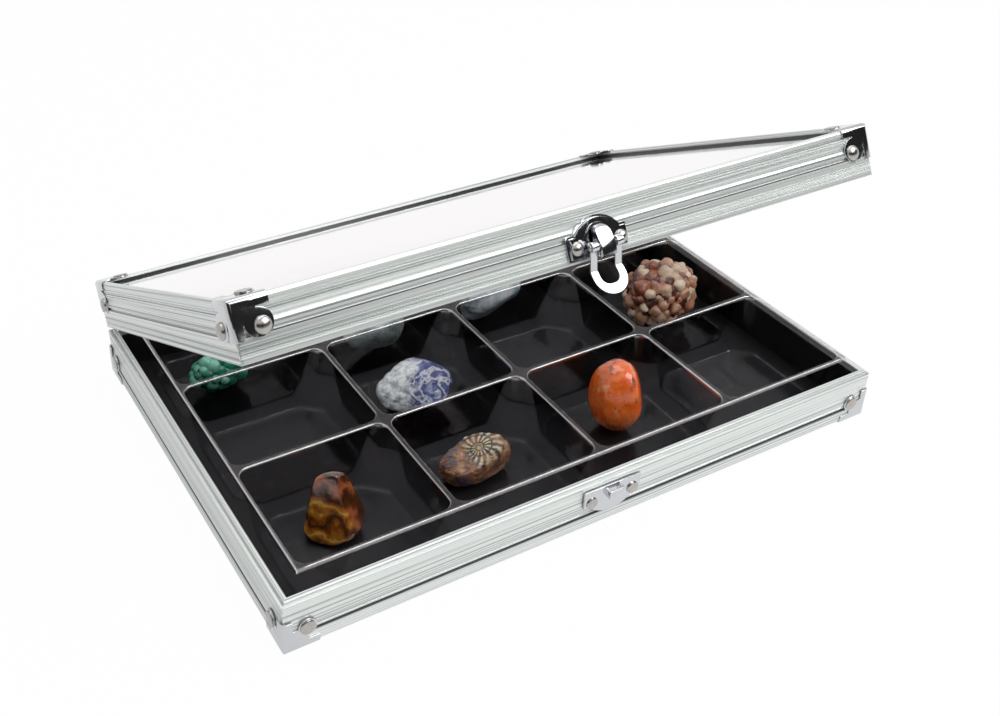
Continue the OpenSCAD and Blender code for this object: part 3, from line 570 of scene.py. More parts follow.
def rivet_tree():
    """Geometry nodes that stand a domed or a flat rivet head on every point, along its own direction."""
    tree = bpy.data.node_groups.new("Rivet heads", "GeometryNodeTree")
    face = tree.interface
    face.new_socket(name="Points", in_out="INPUT", socket_type="NodeSocketGeometry")
    for label, value in (("Radius", 0.0032), ("Dome height", 0.0021), ("Flat height", 0.0008)):
        made = face.new_socket(name=label, in_out="INPUT", socket_type="NodeSocketFloat")
        made.default_value = value
    face.new_socket(name="Finish", in_out="INPUT", socket_type="NodeSocketMaterial")
    face.new_socket(name="Geometry", in_out="OUTPUT", socket_type="NodeSocketGeometry")
    g = Graph(tree)
    source = g.node("NodeGroupInput")
    radius, dome_high, flat_high = (source.outputs[k] for k in ("Radius", "Dome height", "Flat height"))

    def attribute(label, kind):
        return g.node("GeometryNodeInputNamedAttribute", {"Name": label}, data_type=kind).outputs["Attribute"]

    def moved(shape, **place):
        return g.node("GeometryNodeTransform", {"Geometry": shape, **place}).outputs[0]

    ball_mesh = g.node("GeometryNodeMeshUVSphere", {"Segments": 40, "Rings": 24, "Radius": radius})
    squash = g.node("ShaderNodeCombineXYZ", {0: 1.0, 1: 1.0, 2: g.math("DIVIDE", dome_high, radius)})
    dome = moved(ball_mesh.outputs["Mesh"], Scale=squash.outputs[0])

    def disc(low, high, wide, narrow):
        made = g.node(
            "GeometryNodeMeshCone",
            {
                "Vertices": 48,
                "Radius Bottom": g.math("MULTIPLY", radius, wide),
                "Radius Top": g.math("MULTIPLY", radius, narrow),
                "Depth": g.math("MULTIPLY", flat_high, high - low),
            },
        )
        lift = g.node("ShaderNodeCombineXYZ", {2: g.math("MULTIPLY", flat_high, low)})
        return moved(made.outputs["Mesh"], Translation=lift.outputs[0])

    # a flat head in three layers: the drum, a slight bevel and a rounded edge
    flat = g.node("GeometryNodeJoinGeometry")
    for layer in ((0.0, 0.62, 1.0, 1.0), (0.62, 0.86, 1.0, 0.93), (0.86, 1.0, 0.93, 0.8)):
        g.links.new(disc(*layer), flat.inputs[0])
    outward = attribute("outward", "FLOAT_VECTOR")
    turn = g.node("FunctionNodeAlignRotationToVector", {"Vector": outward}, axis="Z")
    domed = attribute("domed", "BOOLEAN")
    other = g.node("FunctionNodeBooleanMath", {0: domed}, operation="NOT")
    heads = g.node("GeometryNodeJoinGeometry")
    for shape, chosen in ((dome, domed), (flat.outputs[0], other.outputs[0])):
        stand = g.node(
            "GeometryNodeInstanceOnPoints",
            {
                "Points": source.outputs["Points"],
                "Selection": chosen,
                "Instance": shape,
                "Rotation": turn.outputs[0],
            },
        )
        g.links.new(stand.outputs[0], heads.inputs[0])
    real = g.node("GeometryNodeRealizeInstances", {0: heads.outputs[0]})
    finish = source.outputs["Finish"]
    paint = g.node("GeometryNodeSetMaterial", {"Geometry": real.outputs[0], "Material": finish})
    g.node("NodeGroupOutput", {0: paint.outputs[0]})
    return tree


def set_input(modifier, label, value):
    """Sets a geometry nodes input by its socket's identifier."""
    for item in modifier.node_group.interface.items_tree:
        if item.item_type == "SOCKET" and item.in_out == "INPUT" and item.name == label:
            modifier[item.identifier] = value
            return
    raise RuntimeError(f"no input named {label}")


def head_places(node):
    """The points of each rivet in a CAD node of rivets, one list for each rivet."""
    mesh = frame["nodes"][node].data
    work = bmesh.new()
    work.from_mesh(mesh)
    bmesh.ops.remove_doubles(work, verts=work.verts, dist=2e-6)
    seen, groups = set(), []
    for start in work.verts:
        if start.index in seen:
            continue
        stack, group = [start], []
        seen.add(start.index)
        while stack:
            vert = stack.pop()
            group.append(vert.co.copy())
            for edge in vert.link_edges:
                other = edge.other_vert(vert)
                if other.index not in seen:
                    seen.add(other.index)
                    stack.append(other)
        groups.append(group)
    work.free()
    return groups


def rivet_axis(group, ways):
    """Which of the given directions the rivet's head points along, and the middle of its head's top."""
    best = None
    for way in ways:
        first = way.orthogonal().normalized()
        second = way.cross(first)
        spans = []
        for k in range(6):
            turn = math.pi * k / 6
            across = first * math.cos(turn) + second * math.sin(turn)
            reach = [p.dot(across) for p in group]
            spans.append(max(reach) - min(reach))
        middle = Vector()
        for across in (first, second):
            reach = [p.dot(across) for p in group]
            middle += across * (max(reach) + min(reach)) / 2
        along = [p.dot(way) for p in group]
        wide = max(spans) / 2
        head = [a for a, p in zip(along, group) if (p - way * a - middle).length > 0.8 * wide]
        leaning = (max(along) + min(along)) / 2 - sum(head) / len(head)
        rank = (round((max(spans) - min(spans)) / MM, 0), leaning)
        if best is None or rank < best[0]:
            best = (rank, middle + way * max(along), way)
    return best[1], best[2]


def rivet_heads(name, node, body, ways, domed, radius, material):
    """One piece that stands for a CAD node of rivets; domed tells which directions have domes."""
    look = bpy.context.scene.specimen_metal
    points, outward, round_top = [], [], []
    for group in head_places(node):
        top, way = rivet_axis(group, ways)
        is_dome = domed(way)
        points.append(top - way * (look.dome_height if is_dome else look.flat_height))
        outward.append(way)
        round_top.append(is_dome)
    item = mesh_object(name, points, [])
    item.data.attributes.new("outward", "FLOAT_VECTOR", "POINT")
    item.data.attributes.new("domed", "BOOLEAN", "POINT")
    for k, way in enumerate(outward):
        item.data.attributes["outward"].data[k].vector = way
        item.data.attributes["domed"].data[k].value = round_top[k]
    nodes = item.modifiers.new("Rivet heads", "NODES")
    nodes.node_group = bpy.data.node_groups.get("Rivet heads") or rivet_tree()
    set_input(nodes, "Radius", radius)
    set_input(nodes, "Dome height", look.dome_height)
    set_input(nodes, "Flat height", look.flat_height)
    set_input(nodes, "Finish", material)
    apply_modifiers(item)
    shade_by_angle(item, 30)
    return finish_piece(item, body, material, node)


class SPECIMEN_OT_rivets(bpy.types.Operator):
    """Stand every rivet head on its bracket, plate or leaf"""

    bl_idname = "specimen.rivets"
    bl_label = "Rivets"

    def execute(self, context):
        look = context.scene.specimen_metal
        steel = rivet_steel("Rivet steel")
        x, y, z = Vector((1, 0, 0)), Vector((0, 1, 0)), Vector((0, 0, 1))
        top = lid_way(z)
        base_ways = [x, -x, y, -y, -z]
        lid_ways = [x, -x, lid_way(y), lid_way(-y), top]
        small, large = look.rivet_radius, look.corner_rivet_radius
        for name, node, body, ways, domed, radius in (
            ("base_corner_rivet_heads", "base_corner_rivets", "base", base_ways, lambda way: False, large),
            ("strike_rivet_heads", "strike_rivets", "base", [-y], lambda way: False, small),
            ("hinge_rivet_heads_base", "hinge_rivets_base", "base", [y], lambda way: False, small),
            ("lid_corner_rivet_heads", "lid_corner_rivets", "lid", lid_ways, lambda way: way != top, large),
            ("hinge_rivet_heads_lid", "hinge_rivets_lid", "lid", [lid_way(y)], lambda way: False, small),
            ("latch_rivet_heads", "latch_rivets", "lid", [lid_way(-y)], lambda way: True, small),
        ):
            rivet_heads(name, node, body, ways, domed, radius, steel)
        return {"FINISHED"}


# ---- tray


SIDE_STEPS, CORNER_STEPS = 10, 8  # points along each side and round each corner of a ring
TRAY_RIM = 2.2 * MM  # flat border outside the outer cells
MOUTH_RADIUS = 6.0 * MM  # round corners of each cell's mouth
FLOOR_LIFT = 0.08 * MM  # keeps the tray's underside off the lining
SKIRT_INSET = 0.1 * MM  # room for the border's outward step


def rounded_ring(half_x, half_y, radius, cut=0.0, blend=0.0):
    """Points round a rectangle, from round corners (blend 0) to cut corners (blend 1)."""
    signs = ((1, 1), (-1, 1), (-1, -1), (1, -1))

    def at_corner(corner, part):
        sx, sy = signs[corner % 4]
        angle = math.radians(90 * corner + 90 * part)
        cx, cy = sx * (half_x - radius), sy * (half_y - radius)
        arc = Vector((cx + radius * math.cos(angle), cy + radius * math.sin(angle), 0))
        if not blend:
            return arc
        first = Vector((sx * half_x, sy * (half_y - cut), 0))
        second = Vector((sx * (half_x - cut), sy * half_y, 0))
        if corner % 2:
            first, second = second, first
        return arc.lerp(first.lerp(second, part), blend)

    ring = []
    for corner in range(4):
        ring += [at_corner(corner, k / CORNER_STEPS) for k in range(CORNER_STEPS + 1)]
        tail, head = ring[-1], at_corner(corner + 1, 0)
        ring += [tail.lerp(head, k / SIDE_STEPS) for k in range(1, SIDE_STEPS)]
    return ring


def tile_ring(first, last, model, centre, top):
    """The tile's own outline, one point for each point of the model ring round its mouth."""
    corners = ((last[0], last[1]), (first[0], last[1]), (first[0], first[1]), (last[0], first[1]))
    half = CORNER_STEPS // 2
    ring = []
    for n, local in enumerate(model):
        corner, step = divmod(n, CORNER_STEPS + SIDE_STEPS)
        x, y = corners[corner]
        if step != half and (step < half) == (corner % 2 == 0):
            y = local.y + centre.y
        elif step != half:
            x = local.x + centre.x
        ring.append(Vector((x, y, top)))
    return ring


def cell_rings(size, mouth, top, bottom):
    """Rings of one cell round its centre: over the rolled mouth, down the wall, in over the floor."""
    floor = [half - size.taper for half in mouth]
    rings = []

    def add(height, half, radius=MOUTH_RADIUS, cut=0.0, blend=0.0):
        ring = rounded_ring(*half, radius, cut, blend)
        rings.append([Vector((p.x, p.y, height)) for p in ring])

    for grow, drop in ((0.9, 0.0), (0.45, 0.12), (0.12, 0.45), (-0.05, 1.1)):
        add(top - drop * MM, [half + grow * MM for half in mouth], MOUTH_RADIUS + grow * MM)
    for part in (0.25, 0.5, 0.75, 0.9, 0.955):
        half = [start + (end - start) * part for start, end in zip(mouth, floor)]
        add(top + (bottom - top) * part, half, cut=size.floor_cut, blend=part)
    for inset, lift in ((0.35, 0.55), (0.9, 0.15), (1.8, 0.0), (6.0, 0.0), (16.0, 0.0)):
        half = [end - inset * MM for end in floor]
        add(bottom + lift * MM, half, cut=size.floor_cut - 0.4 * inset * MM, blend=1.0)
    return rings


def ring_faces(start, rings, count):
    """Faces that join rings of points, in order, and close the last."""
    faces = []
    for k in range(rings - 1):
        for n in range(count):
            a = start + k * count + n
            b = start + k * count + (n + 1) % count
            faces.append((a, b, b + count, a + count))
    last = start + (rings - 1) * count
    faces.append(tuple(range(last, last + count)))
    return faces


def hang_skirt(item, top):
    """Turns the sheet's outer border down and its faces up."""
    work = bmesh.new()
    work.from_mesh(item.data)
    border = [e for e in work.edges if e.is_boundary]
    for drop, out in ((0.35, 0.08), (2.0, 0.1)):
        made = bmesh.ops.extrude_edge_only(work, edges=border)["geom"]
        for vert in (g for g in made if isinstance(g, bmesh.types.BMVert)):
            vert.co.z = top - drop * MM
            vert.co.x += math.copysign(out * MM * 0.5, vert.co.x)
            vert.co.y += math.copysign(out * MM * 0.5, vert.co.y)
        border = [g for g in made if isinstance(g, bmesh.types.BMEdge)]
    bmesh.ops.recalc_face_normals(work, faces=work.faces)
    if sum(f.normal.z * f.calc_area() for f in work.faces) < 0:
        bmesh.ops.reverse_faces(work, faces=work.faces)
    work.to_mesh(item.data)
    work.free()


class SPECIMEN_OT_tray(bpy.types.Operator):
    """Form the clear tray from one sheet, cell by cell"""

    bl_idname = "specimen.tray"
    bl_label = "Tray"

    def execute(self, context):
        size = context.scene.specimen_tray
        low, high = (Vector(p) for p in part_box("specimen_tray"))
        top, bottom = high.z, low.z + size.wall + FLOOR_LIFT
        cells = (size.cells_x, size.cells_y)
        pitch = [(high[k] - low[k] - 2 * TRAY_RIM + size.divider) / cells[k] for k in range(2)]
        mouth = [(step - size.divider) / 2 for step in pitch]
        model = rounded_ring(*mouth, MOUTH_RADIUS)
        cell = cell_rings(size, mouth, top, bottom)
        points, faces = [], []
        for place in ((i, j) for i in range(cells[0]) for j in range(cells[1])):
            centre = Vector([(place[k] - (cells[k] - 1) / 2) * pitch[k] for k in range(2)] + [0])
            first, last = [], []
            for k in range(2):
                start, end = centre[k] - pitch[k] / 2, centre[k] + pitch[k] / 2
                first.append(low[k] + SKIRT_INSET if place[k] == 0 else start)
                last.append(high[k] - SKIRT_INSET if place[k] == cells[k] - 1 else end)
            rings = [tile_ring(first, last, model, centre, top)]
            rings += [[point + centre for point in ring] for ring in cell]
            faces.extend(ring_faces(len(points), len(rings), len(model)))
            for ring in rings:
                points.extend(ring)
        item = mesh_object("clear_tray", points, faces)
        tidy_mesh(item, 1e-5, outward=False)
        hang_skirt(item, top)
        wall = item.modifiers.new("Sheet", "SOLIDIFY")
        wall.thickness = size.wall
        wall.offset = -1
        apply_modifiers(item)
        shade_by_angle(item, 50)
        finish_piece(item, "base", tray_plastic("Clear formed plastic"), "specimen_tray")
        return {"FINISHED"}


# ---- stones


def ball(detail):
    """Directions and faces of a finely divided ball."""
    work = bmesh.new()
    bmesh.ops.create_icosphere(work, subdivisions=detail, radius=1.0)
    ways = [v.co.normalized() for v in work.verts]
    faces = [tuple(v.index for v in f.verts) for f in work.faces]
    work.free()
    return ways, faces


def cut_rock(planes, soft=14.0, limit=1.2):
    """A function from a direction to a radius: given flat faces with softened edges, round elsewhere."""
    cuts = [(Vector(way).normalized(), height) for way, height in planes]

    def radius(way):
        total = limit**-soft
        for normal, height in cuts:
            facing = way.dot(normal)
            if facing > 0.05:
                total += (facing / height) ** soft
        return total ** (-1.0 / soft)

    return radius


def split_rock(seed, planes, spread=0.35, soft=14.0):
    """Flat faces in random directions from a fixed seed."""
    pick = random.Random(seed)
    cuts = []
    while len(cuts) < planes:
        way = Vector((pick.gauss(0, 1), pick.gauss(0, 1), pick.gauss(0, 1)))
        if way.length > 0.1:
            cuts.append((way, 1.0 - spread * pick.random()))
    return cut_rock(cuts, soft, 1.2)


def fill_box(points, node):
    """Moves and stretches points so that they just fill the box of their CAD node."""
    low, high = (Vector(p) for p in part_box(node))
    inset = Vector((0.08 * MM,) * 3)
    low, high = low + inset, high - inset
    first = Vector([min(p[k] for p in points) for k in range(3)])
    last = Vector([max(p[k] for p in points) for k in range(3)])
    scale = [(high[k] - low[k]) / (last[k] - first[k]) for k in range(3)]
    return [Vector([low[k] + (p[k] - first[k]) * scale[k] for k in range(3)]) for p in points]


def stone_object(name, node, radius, axes=(1, 1, 1), detail=6, grain=(0.02, 3.0), seed=0):
    """A stone that fills its CAD node's box: directions scaled by a radius function and roughened."""
    ways, faces = ball(detail)
    shift = Vector((seed * 7.3, seed * 3.1, seed * 5.7))
    points = []
    for way in ways:
        rough = noise.fractal(way * grain[1] + shift, 1.0, 2.1, 5) * grain[0]
        r = radius(way) * (1 + rough)
        points.append(Vector((way.x * axes[0], way.y * axes[1], way.z * axes[2])) * r)
    return mesh_object(name, fill_box(points, node), faces)


def knob_cluster(name, node, count, sizes, core, seed, grain=0.06):
    """A crust of knobs over a core; the attribute tone tells the knobs apart, and is higher on knobs that
    stand further out, a painted highlight.
    """
    pick = random.Random(seed)
    low, high = (Vector(p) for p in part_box(node))
    half = (high - low) / 2
    centre = (high + low) / 2
    ways, faces = ball(3)
    all_points, all_faces, tones = [], [], []

    def add(place, size, tone):
        start = len(all_points)
        for way in ways:
            rough = noise.fractal((place + way * size) * 260, 1.0, 2.0, 4) * grain
            all_points.append(place + way * size * (1 + rough))
            tones.append(tone)
        all_faces.extend(tuple(n + start for n in face) for face in faces)

    for k in range(count):
        z = 1 - 2 * (k + 0.5) / count
        turn = k * 2.39996
        flat = math.sqrt(1 - z * z)
        way = Vector((flat * math.cos(turn), flat * math.sin(turn), z))
        size = sizes[0] + (sizes[1] - sizes[0]) * pick.random()
        deep = 0.72 + 0.28 * pick.random()
        place = Vector([(half[n] - size * MM) * way[n] * deep for n in range(3)]) + centre
        # knobs that stand further out get up to 0.4 more tone: a painted highlight on the outer knobs
        add(place, size * MM, pick.random() * 0.6 + 0.4 * deep)
    middle = len(all_points)
    dense, dense_faces = ball(5)
    for way in dense:
        rough = 1 + noise.fractal(way * 5, 1.0, 2.0, 4) * 0.12
        all_points.append(Vector([half[n] * way[n] * core * rough for n in range(3)]) + centre)
        tones.append(0.0)
    all_faces.extend(tuple(n + middle for n in face) for face in dense_faces)
    item = mesh_object(name, fill_box(all_points, node), all_faces)
    item.data.attributes.new("tone", "FLOAT", "POINT")
    item.data.attributes["tone"].data.foreach_set("value", tones)
    return item


def clamped(value):
    return max(0.0, min(1.0, value))


def coiled_shell(name, node):
    """A split slab of rock whose upper face shows a coiled, chambered shell."""
    ways, faces = ball(7)
    axes = Vector((20, 14.5, 10.5))
    form = cut_rock(
        [
            ((-0.30, -0.42, 0.86), 0.66),
            ((-0.9, -0.2, -0.1), 0.95),
            ((0.9, 0.3, 0.1), 0.93),
            ((-0.5, 0.8, 0.2), 0.92),
            ((0.5, -0.8, 0.0), 0.94),
            ((0, 0, -1), 0.8),
        ],
        9,
        1.1,
    )
    up = Vector((-0.22, -0.40, 0.89)).normalized()
    side = Vector((1, 0.15, 0.0))
    side = (side - up * side.dot(up)).normalized()
    depth = up.cross(side)
    eye = side * 3.0 + depth * 0.5
    points, tones, shells = [], [], []
    for way in ways:
        rough = noise.fractal(way * 4 + Vector((3, 1, 2)), 1.0, 2.1, 5) * 0.05
        p = Vector([way[k] * axes[k] for k in range(3)]) * form(way) * (1 + rough)
        u, v = (p - eye).dot(side), (p - eye).dot(depth)
        reach, angle = math.hypot(u, v) + 0.001, math.atan2(v, u)
        whorl = math.log(reach / 1.1) / math.log(2.6) - angle / math.tau
        part = whorl - math.floor(whorl)
        wide = 13.5 + 1.5 * noise.noise(Vector((math.cos(angle) * 1.5, math.sin(angle) * 1.5, 4)))
        facing = clamped((p.normalized().dot(up) - 0.12) * 5)
        inside = facing * clamped((wide - reach) * 1.2)
        inside *= clamped(0.4 + (u + 6.0) / 3.0)
        chamber = math.sin(angle * 15 + reach * 0.55 + 0.8 * noise.noise(p * 0.6))
        tone = 0.55 + 0.5 * chamber
        tone *= clamped(part / 0.16) * clamped((1 - part) / 0.10)
        if reach < 1.2:
            tone = 0.9
        lift = 0.45 * inside * (math.sin(math.pi * part) ** 0.6 * 0.9 + 0.35 * chamber - 0.4)
        points.append(p + up * lift)
        tones.append(tone)
        shells.append(inside)
    item = mesh_object(name, fill_box(points, node), faces)
    for label, values in (("tone", tones), ("shell", shells)):
        item.data.attributes.new(label, "FLOAT", "POINT")
        item.data.attributes[label].data.foreach_set("value", values)
    return item


@kept
def tiger_eye_stone(name):
    """Golden amber and red-brown silky bands under a high polish."""
    f = Finish(name)
    place = f.where((1, 1, 1), (0.5, 0.3, 0.7))
    bands = f.node(
        "ShaderNodeTexWave",
        {"Vector": place, "Scale": 30.0, "Distortion": 9.0, "Detail": 5.0, "Detail Scale": 2.2},
        wave_type="BANDS",
        bands_direction="DIAGONAL",
    ).outputs["Fac"]
    silk = f.noise(f.where((1900, 190, 190), (0.5, 0.3, 0.7)), 1.0, 4, 0.6)
    cloud = f.noise(place, 75, 4, 0.6)
    gold = f.ramp(
        bands,
        [
            (0.0, (0.05, 0.014, 0.003)), (0.40, (0.20, 0.055, 0.006)), (0.70, (0.36, 0.115, 0.010)),
            (0.90, (0.30, 0.15, 0.02)), (1.0, (0.62, 0.32, 0.06)),
        ],
    )
    red = f.ramp(bands, [(0.0, (0.02, 0.005, 0.002)), (0.6, (0.13, 0.028, 0.008)), (1.0, (0.34, 0.09, 0.03))])
    local = f.where(centre=(-0.122, -0.0625, 0.02))
    front = f.math("ADD", f.axis(local, 0), f.axis(local, 1))
    split = f.ranged(front, -0.007, -0.004)
    colour = f.mix(split, gold, red)
    colour = f.mix(f.span(silk, -0.05, 0.14), colour, (0.50, 0.16, 0.02))
    colour = f.mix(f.mask(cloud, 0.55, 0.72, 0.8), colour, (0.03, 0.01, 0.004))
    return f.shade(
        colour, f.span(silk, 0.10, 0.25), f.bump(silk, 0.08, 0.0001), Coat_Weight=1.0,
        Coat_Roughness=0.03, Specular_IOR_Level=0.7,
    )


@kept
def fossil_stone(name):
    """Rusty matrix with the shell's chambers in cream and grey, from the piece's own tone."""
    f = Finish(name)
    tone = f.node("ShaderNodeAttribute", attribute_name="tone").outputs["Fac"]
    inside = f.node("ShaderNodeAttribute", attribute_name="shell").outputs["Fac"]
    place = f.where()
    grit = f.noise(place, 420, 5, 0.65)
    cloud = f.noise(place, 130, 4, 0.6)
    rock = f.ramp(
        cloud,
        [
            (0.36, (0.05, 0.04, 0.06)), (0.47, (0.14, 0.055, 0.025)), (0.58, (0.34, 0.15, 0.06)),
            (0.72, (0.42, 0.32, 0.22)),
        ],
    )
    shell = f.ramp(
        tone,
        [
            (0.0, (0.012, 0.012, 0.02)), (0.30, (0.04, 0.035, 0.04)), (0.5, (0.30, 0.23, 0.12)),
            (1.0, (0.66, 0.58, 0.38)),
        ],
    )
    shell = f.mix(f.mask(cloud, 0.5, 0.62, 0.6), shell, (0.34, 0.15, 0.05))
    colour = f.mix(inside, rock, shell)
    colour = f.mix(f.span(grit, 0, 0.2), colour, (0.12, 0.075, 0.05))
    return f.shade(
        colour, f.span(grit, 0.22, 0.6), f.bump(grit, 0.4, 0.0003), Coat_Weight=0.35,
        Coat_Roughness=0.12,
    )


@kept
def jasper_stone(name):
    """Polished orange-red stone with pinkish clouds, pale flecks and grey spots."""
    f = Finish(name)
    place = f.where()
    cloud = f.noise(place, 95, 5, 0.7, 0.8)
    fleck = f.noise(place, 480, 3, 0.6)
    colour = f.ramp(
        cloud,
        [
            (0.25, (0.60, 0.055, 0.008)), (0.45, (0.86, 0.12, 0.012)), (0.60, (0.90, 0.20, 0.035)),
            (0.74, (0.90, 0.42, 0.22)),
        ],
    )
    colour = f.mix(f.mask(fleck, 0.60, 0.72, 0.6), colour, (0.92, 0.46, 0.20))
    dark = f.mask(f.noise(place, 170, 3, 0.5), 0.61, 0.67, 0.85)
    colour = f.mix(dark, colour, (0.20, 0.10, 0.09))
    return f.shade(
        colour, f.span(cloud, 0.14, 0.28), f.bump(fleck, 0.05, 0.0001), Coat_Weight=0.8,
        Coat_Roughness=0.05, Subsurface_Weight=0.06, Subsurface_Radius=(0.004, 0.0012, 0.0005),
    )


@kept
def sodalite_stone(name):
    """White and grey to the left, dark blue with white veins to the right."""
    f = Finish(name)
    place = f.where()
    warp = f.noise(place, 60, 5, 0.65, 1.0)
    fine = f.noise(place, 300, 4, 0.65)
    across = f.axis(f.where((1, 1, 1), (0, 0, 0.35), (-0.0425, 0.0015, 0.0)), 0)
    moved = f.math("ADD", f.span(warp, -0.030, 0.030), across)
    blue_side = f.ranged(moved, -0.004, 0.002)
    white = f.ramp(fine, [(0.34, (0.20, 0.25, 0.34)), (0.46, (0.55, 0.60, 0.62)), (0.6, (0.82, 0.84, 0.84))])
    blue = f.ramp(
        warp,
        [
            (0.34, (0.45, 0.50, 0.62)), (0.42, (0.12, 0.17, 0.40)), (0.52, (0.03, 0.05, 0.20)),
            (0.66, (0.012, 0.018, 0.08)),
        ],
    )
    veins = f.noise(place, 70, 5, 0.6, 0.6)
    pale = (0.7, 0.7, 0.7)
    line = f.ramp(veins, [(0.465, (0, 0, 0)), (0.495, pale), (0.505, pale), (0.545, (0, 0, 0))])
    blue = f.mix(line, blue, (0.80, 0.83, 0.88))
    colour = f.mix(blue_side, white, blue)
    return f.shade(
        colour, f.span(warp, 0.25, 0.5), f.bump(fine, 0.15, 0.0002), Coat_Weight=0.5,
        Coat_Roughness=0.08,
    )


@kept
def crust_stone(name, hollow, low, middle, high, glow):
    """A crust of knobs: dark in the hollows, each knob of its own tone, with a painted highlight on the knobs
    that stand furthest out.
    """
    f = Finish(name)
    tone = f.node("ShaderNodeAttribute", attribute_name="tone").outputs["Fac"]
    place = f.where()
    cloud = f.noise(place, 170, 4, 0.6)
    fine = f.noise(place, 1100, 3, 0.6)
    # tone is higher on knobs that stand further out, so this ramp paints a highlight on them
    both = f.math("ADD", f.span(cloud, -0.22, 0.22), tone)
    colour = f.ramp(both, [(0.16, hollow), (0.46, low), (0.70, middle), (0.98, high)])
    return f.shade(
        colour, f.span(fine, 0.18, 0.5), f.bump(fine, 0.35, 0.0003), Subsurface_Weight=0.3,
        Subsurface_Radius=glow, Coat_Weight=0.4, Coat_Roughness=0.15,
    )


@kept
def clear_stone(name, deep, pale):
    """Cloudy, slightly clear stone with pale flaws."""
    f = Finish(name)
    place = f.where()
    cloud = f.noise(place, 90, 5, 0.62, 0.8)
    fine = f.noise(place, 500, 4, 0.6)
    colour = f.mix(f.mask(cloud, 0.35, 0.62), deep, pale)
    flaw = f.mask(fine, 0.60, 0.70, 0.8)
    colour = f.mix(flaw, colour, (0.88, 0.90, 0.89))
    return f.shade(
        colour, f.span(fine, 0.12, 0.4), f.bump(fine, 0.25, 0.0003), Subsurface_Weight=0.4,
        Subsurface_Radius=(0.003, 0.004, 0.004), Coat_Weight=0.5, Coat_Roughness=0.08,
    )


class SPECIMEN_OT_stones(bpy.types.Operator):
    """Lay the loose mineral specimens in their cells"""

    bl_idname = "specimen.stones"
    bl_label = "Stones"

    def execute(self, context):
        wedge = cut_rock(
            [
                ((-0.66, -0.60, 0.46), 0.42),
                ((0.50, -0.72, 0.48), 0.60),
                ((-0.85, 0.50, 0.25), 0.72),
                ((0.95, 0.15, 0.30), 0.78),
                ((0, 0, -1), 0.62),
            ],
            34,
            1.0,
        )
        egg = cut_rock(
            [
                ((-0.55, -0.72, 0.35), 0.84), ((0.75, -0.55, 0.25), 0.84), ((0, 0.9, 0.2), 0.95),
                ((-0.9, 0.2, 0.3), 0.9),
            ],
            9,
            1.0,
        )

        def pointed(way):
            return egg(way) * (1 - 0.16 * max(0.0, way.z) ** 2 + 0.05 * max(0.0, -way.z))

        def stone(name, radius, axes, grain, seed):
            return stone_object(name, f"specimen_{name}", radius, axes, 6, grain, seed)

        rust = ((0.09, 0.018, 0.007), (0.30, 0.085, 0.035), (0.52, 0.28, 0.17), (0.76, 0.64, 0.48))
        green = ((0.002, 0.035, 0.02), (0.008, 0.15, 0.085), (0.02, 0.28, 0.17), (0.25, 0.62, 0.46))
        for item, tone in (
            (stone("tiger_eye", wedge, (17, 15, 19), (0.02, 1.6), 1), tiger_eye_stone("Tiger eye")),
            (coiled_shell("ammonite", "specimen_ammonite"), fossil_stone("Fossil")),
            (stone("jasper", pointed, (14, 14, 20), (0.02, 1.6), 3), jasper_stone("Jasper")),
            (
                stone("sodalite", split_rock(12, 16, 0.15, 8), (22, 17, 12), (0.05, 2.6), 4),
                sodalite_stone("Sodalite"),
            ),
            (
                knob_cluster("aragonite", "specimen_aragonite", 130, (2.2, 5.4), 0.80, 15, 0.30),
                crust_stone("Aragonite", *rust, (0.004, 0.002, 0.001)),
            ),
            (
                knob_cluster("malachite", "specimen_malachite", 60, (2.4, 4.4), 0.8, 18),
                crust_stone("Malachite", *green, (0.001, 0.003, 0.002)),
            ),
            (
                stone("fluorite", split_rock(21, 12, 0.35, 18), (19, 12, 13), (0.03, 3), 7),
                clear_stone("Fluorite", (0.22, 0.31, 0.29), (0.60, 0.68, 0.64)),
            ),
            (
                stone("prehnite", split_rock(24, 14, 0.35, 14), (22, 14, 14), (0.04, 3), 8),
                clear_stone("Prehnite", (0.34, 0.42, 0.44), (0.74, 0.80, 0.80)),
            ),
        ):
            finish_piece(item, "base", tone, f"specimen_{item.name}")
        return {"FINISHED"}


# ---- stage


def camera_at_photograph():
    """The camera at the photograph's viewing angle, from a fit to the frame's edges."""
    azimuth, elevation, roll = math.radians(-30.41), math.radians(30.91), -0.018
    forward = Vector(
        (
            -math.sin(azimuth) * math.cos(elevation),
            math.cos(azimuth) * math.cos(elevation),
            -math.sin(elevation),
        )
    )
    level = forward.cross(Vector((0, 0, 1))).normalized()
    down = forward.cross(level).normalized()
    right = level * math.cos(roll) + down * math.sin(roll)
    up = right.cross(forward).normalized()
    data = bpy.data.cameras.new("Camera")
    data.sensor_width = 36.0
    data.lens = 1249.15 * 36.0 / 1000.0
    data.shift_x = 0.072
    data.shift_y = -0.10465
    data.clip_start, data.clip_end = 0.02, 20.0
    camera = bpy.data.objects.new("Camera", data)
    bpy.context.scene.collection.objects.link(camera)
    camera.matrix_world = Matrix.Translation(Vector((-309.5, -466.7, 424.3)) * MM) @ Matrix(
        (right, up, -forward)
    ).transposed().to_4x4()
    bpy.context.scene.camera = camera
    return camera


def area_light(name, place, towards, size, power, colour=(1, 1, 1)):
    data = bpy.data.lights.new(name, "AREA")
    data.shape = "RECTANGLE"
    data.size, data.size_y = size
    data.energy = power
    data.color = colour
    lamp = bpy.data.objects.new(name, data)
    lamp.location = place
    way = Vector(towards) - Vector(place)
    lamp.rotation_mode = "QUATERNION"
    lamp.rotation_quaternion = way.to_track_quat("-Z", "Y")
    bpy.context.scene.collection.objects.link(lamp)
    return lamp


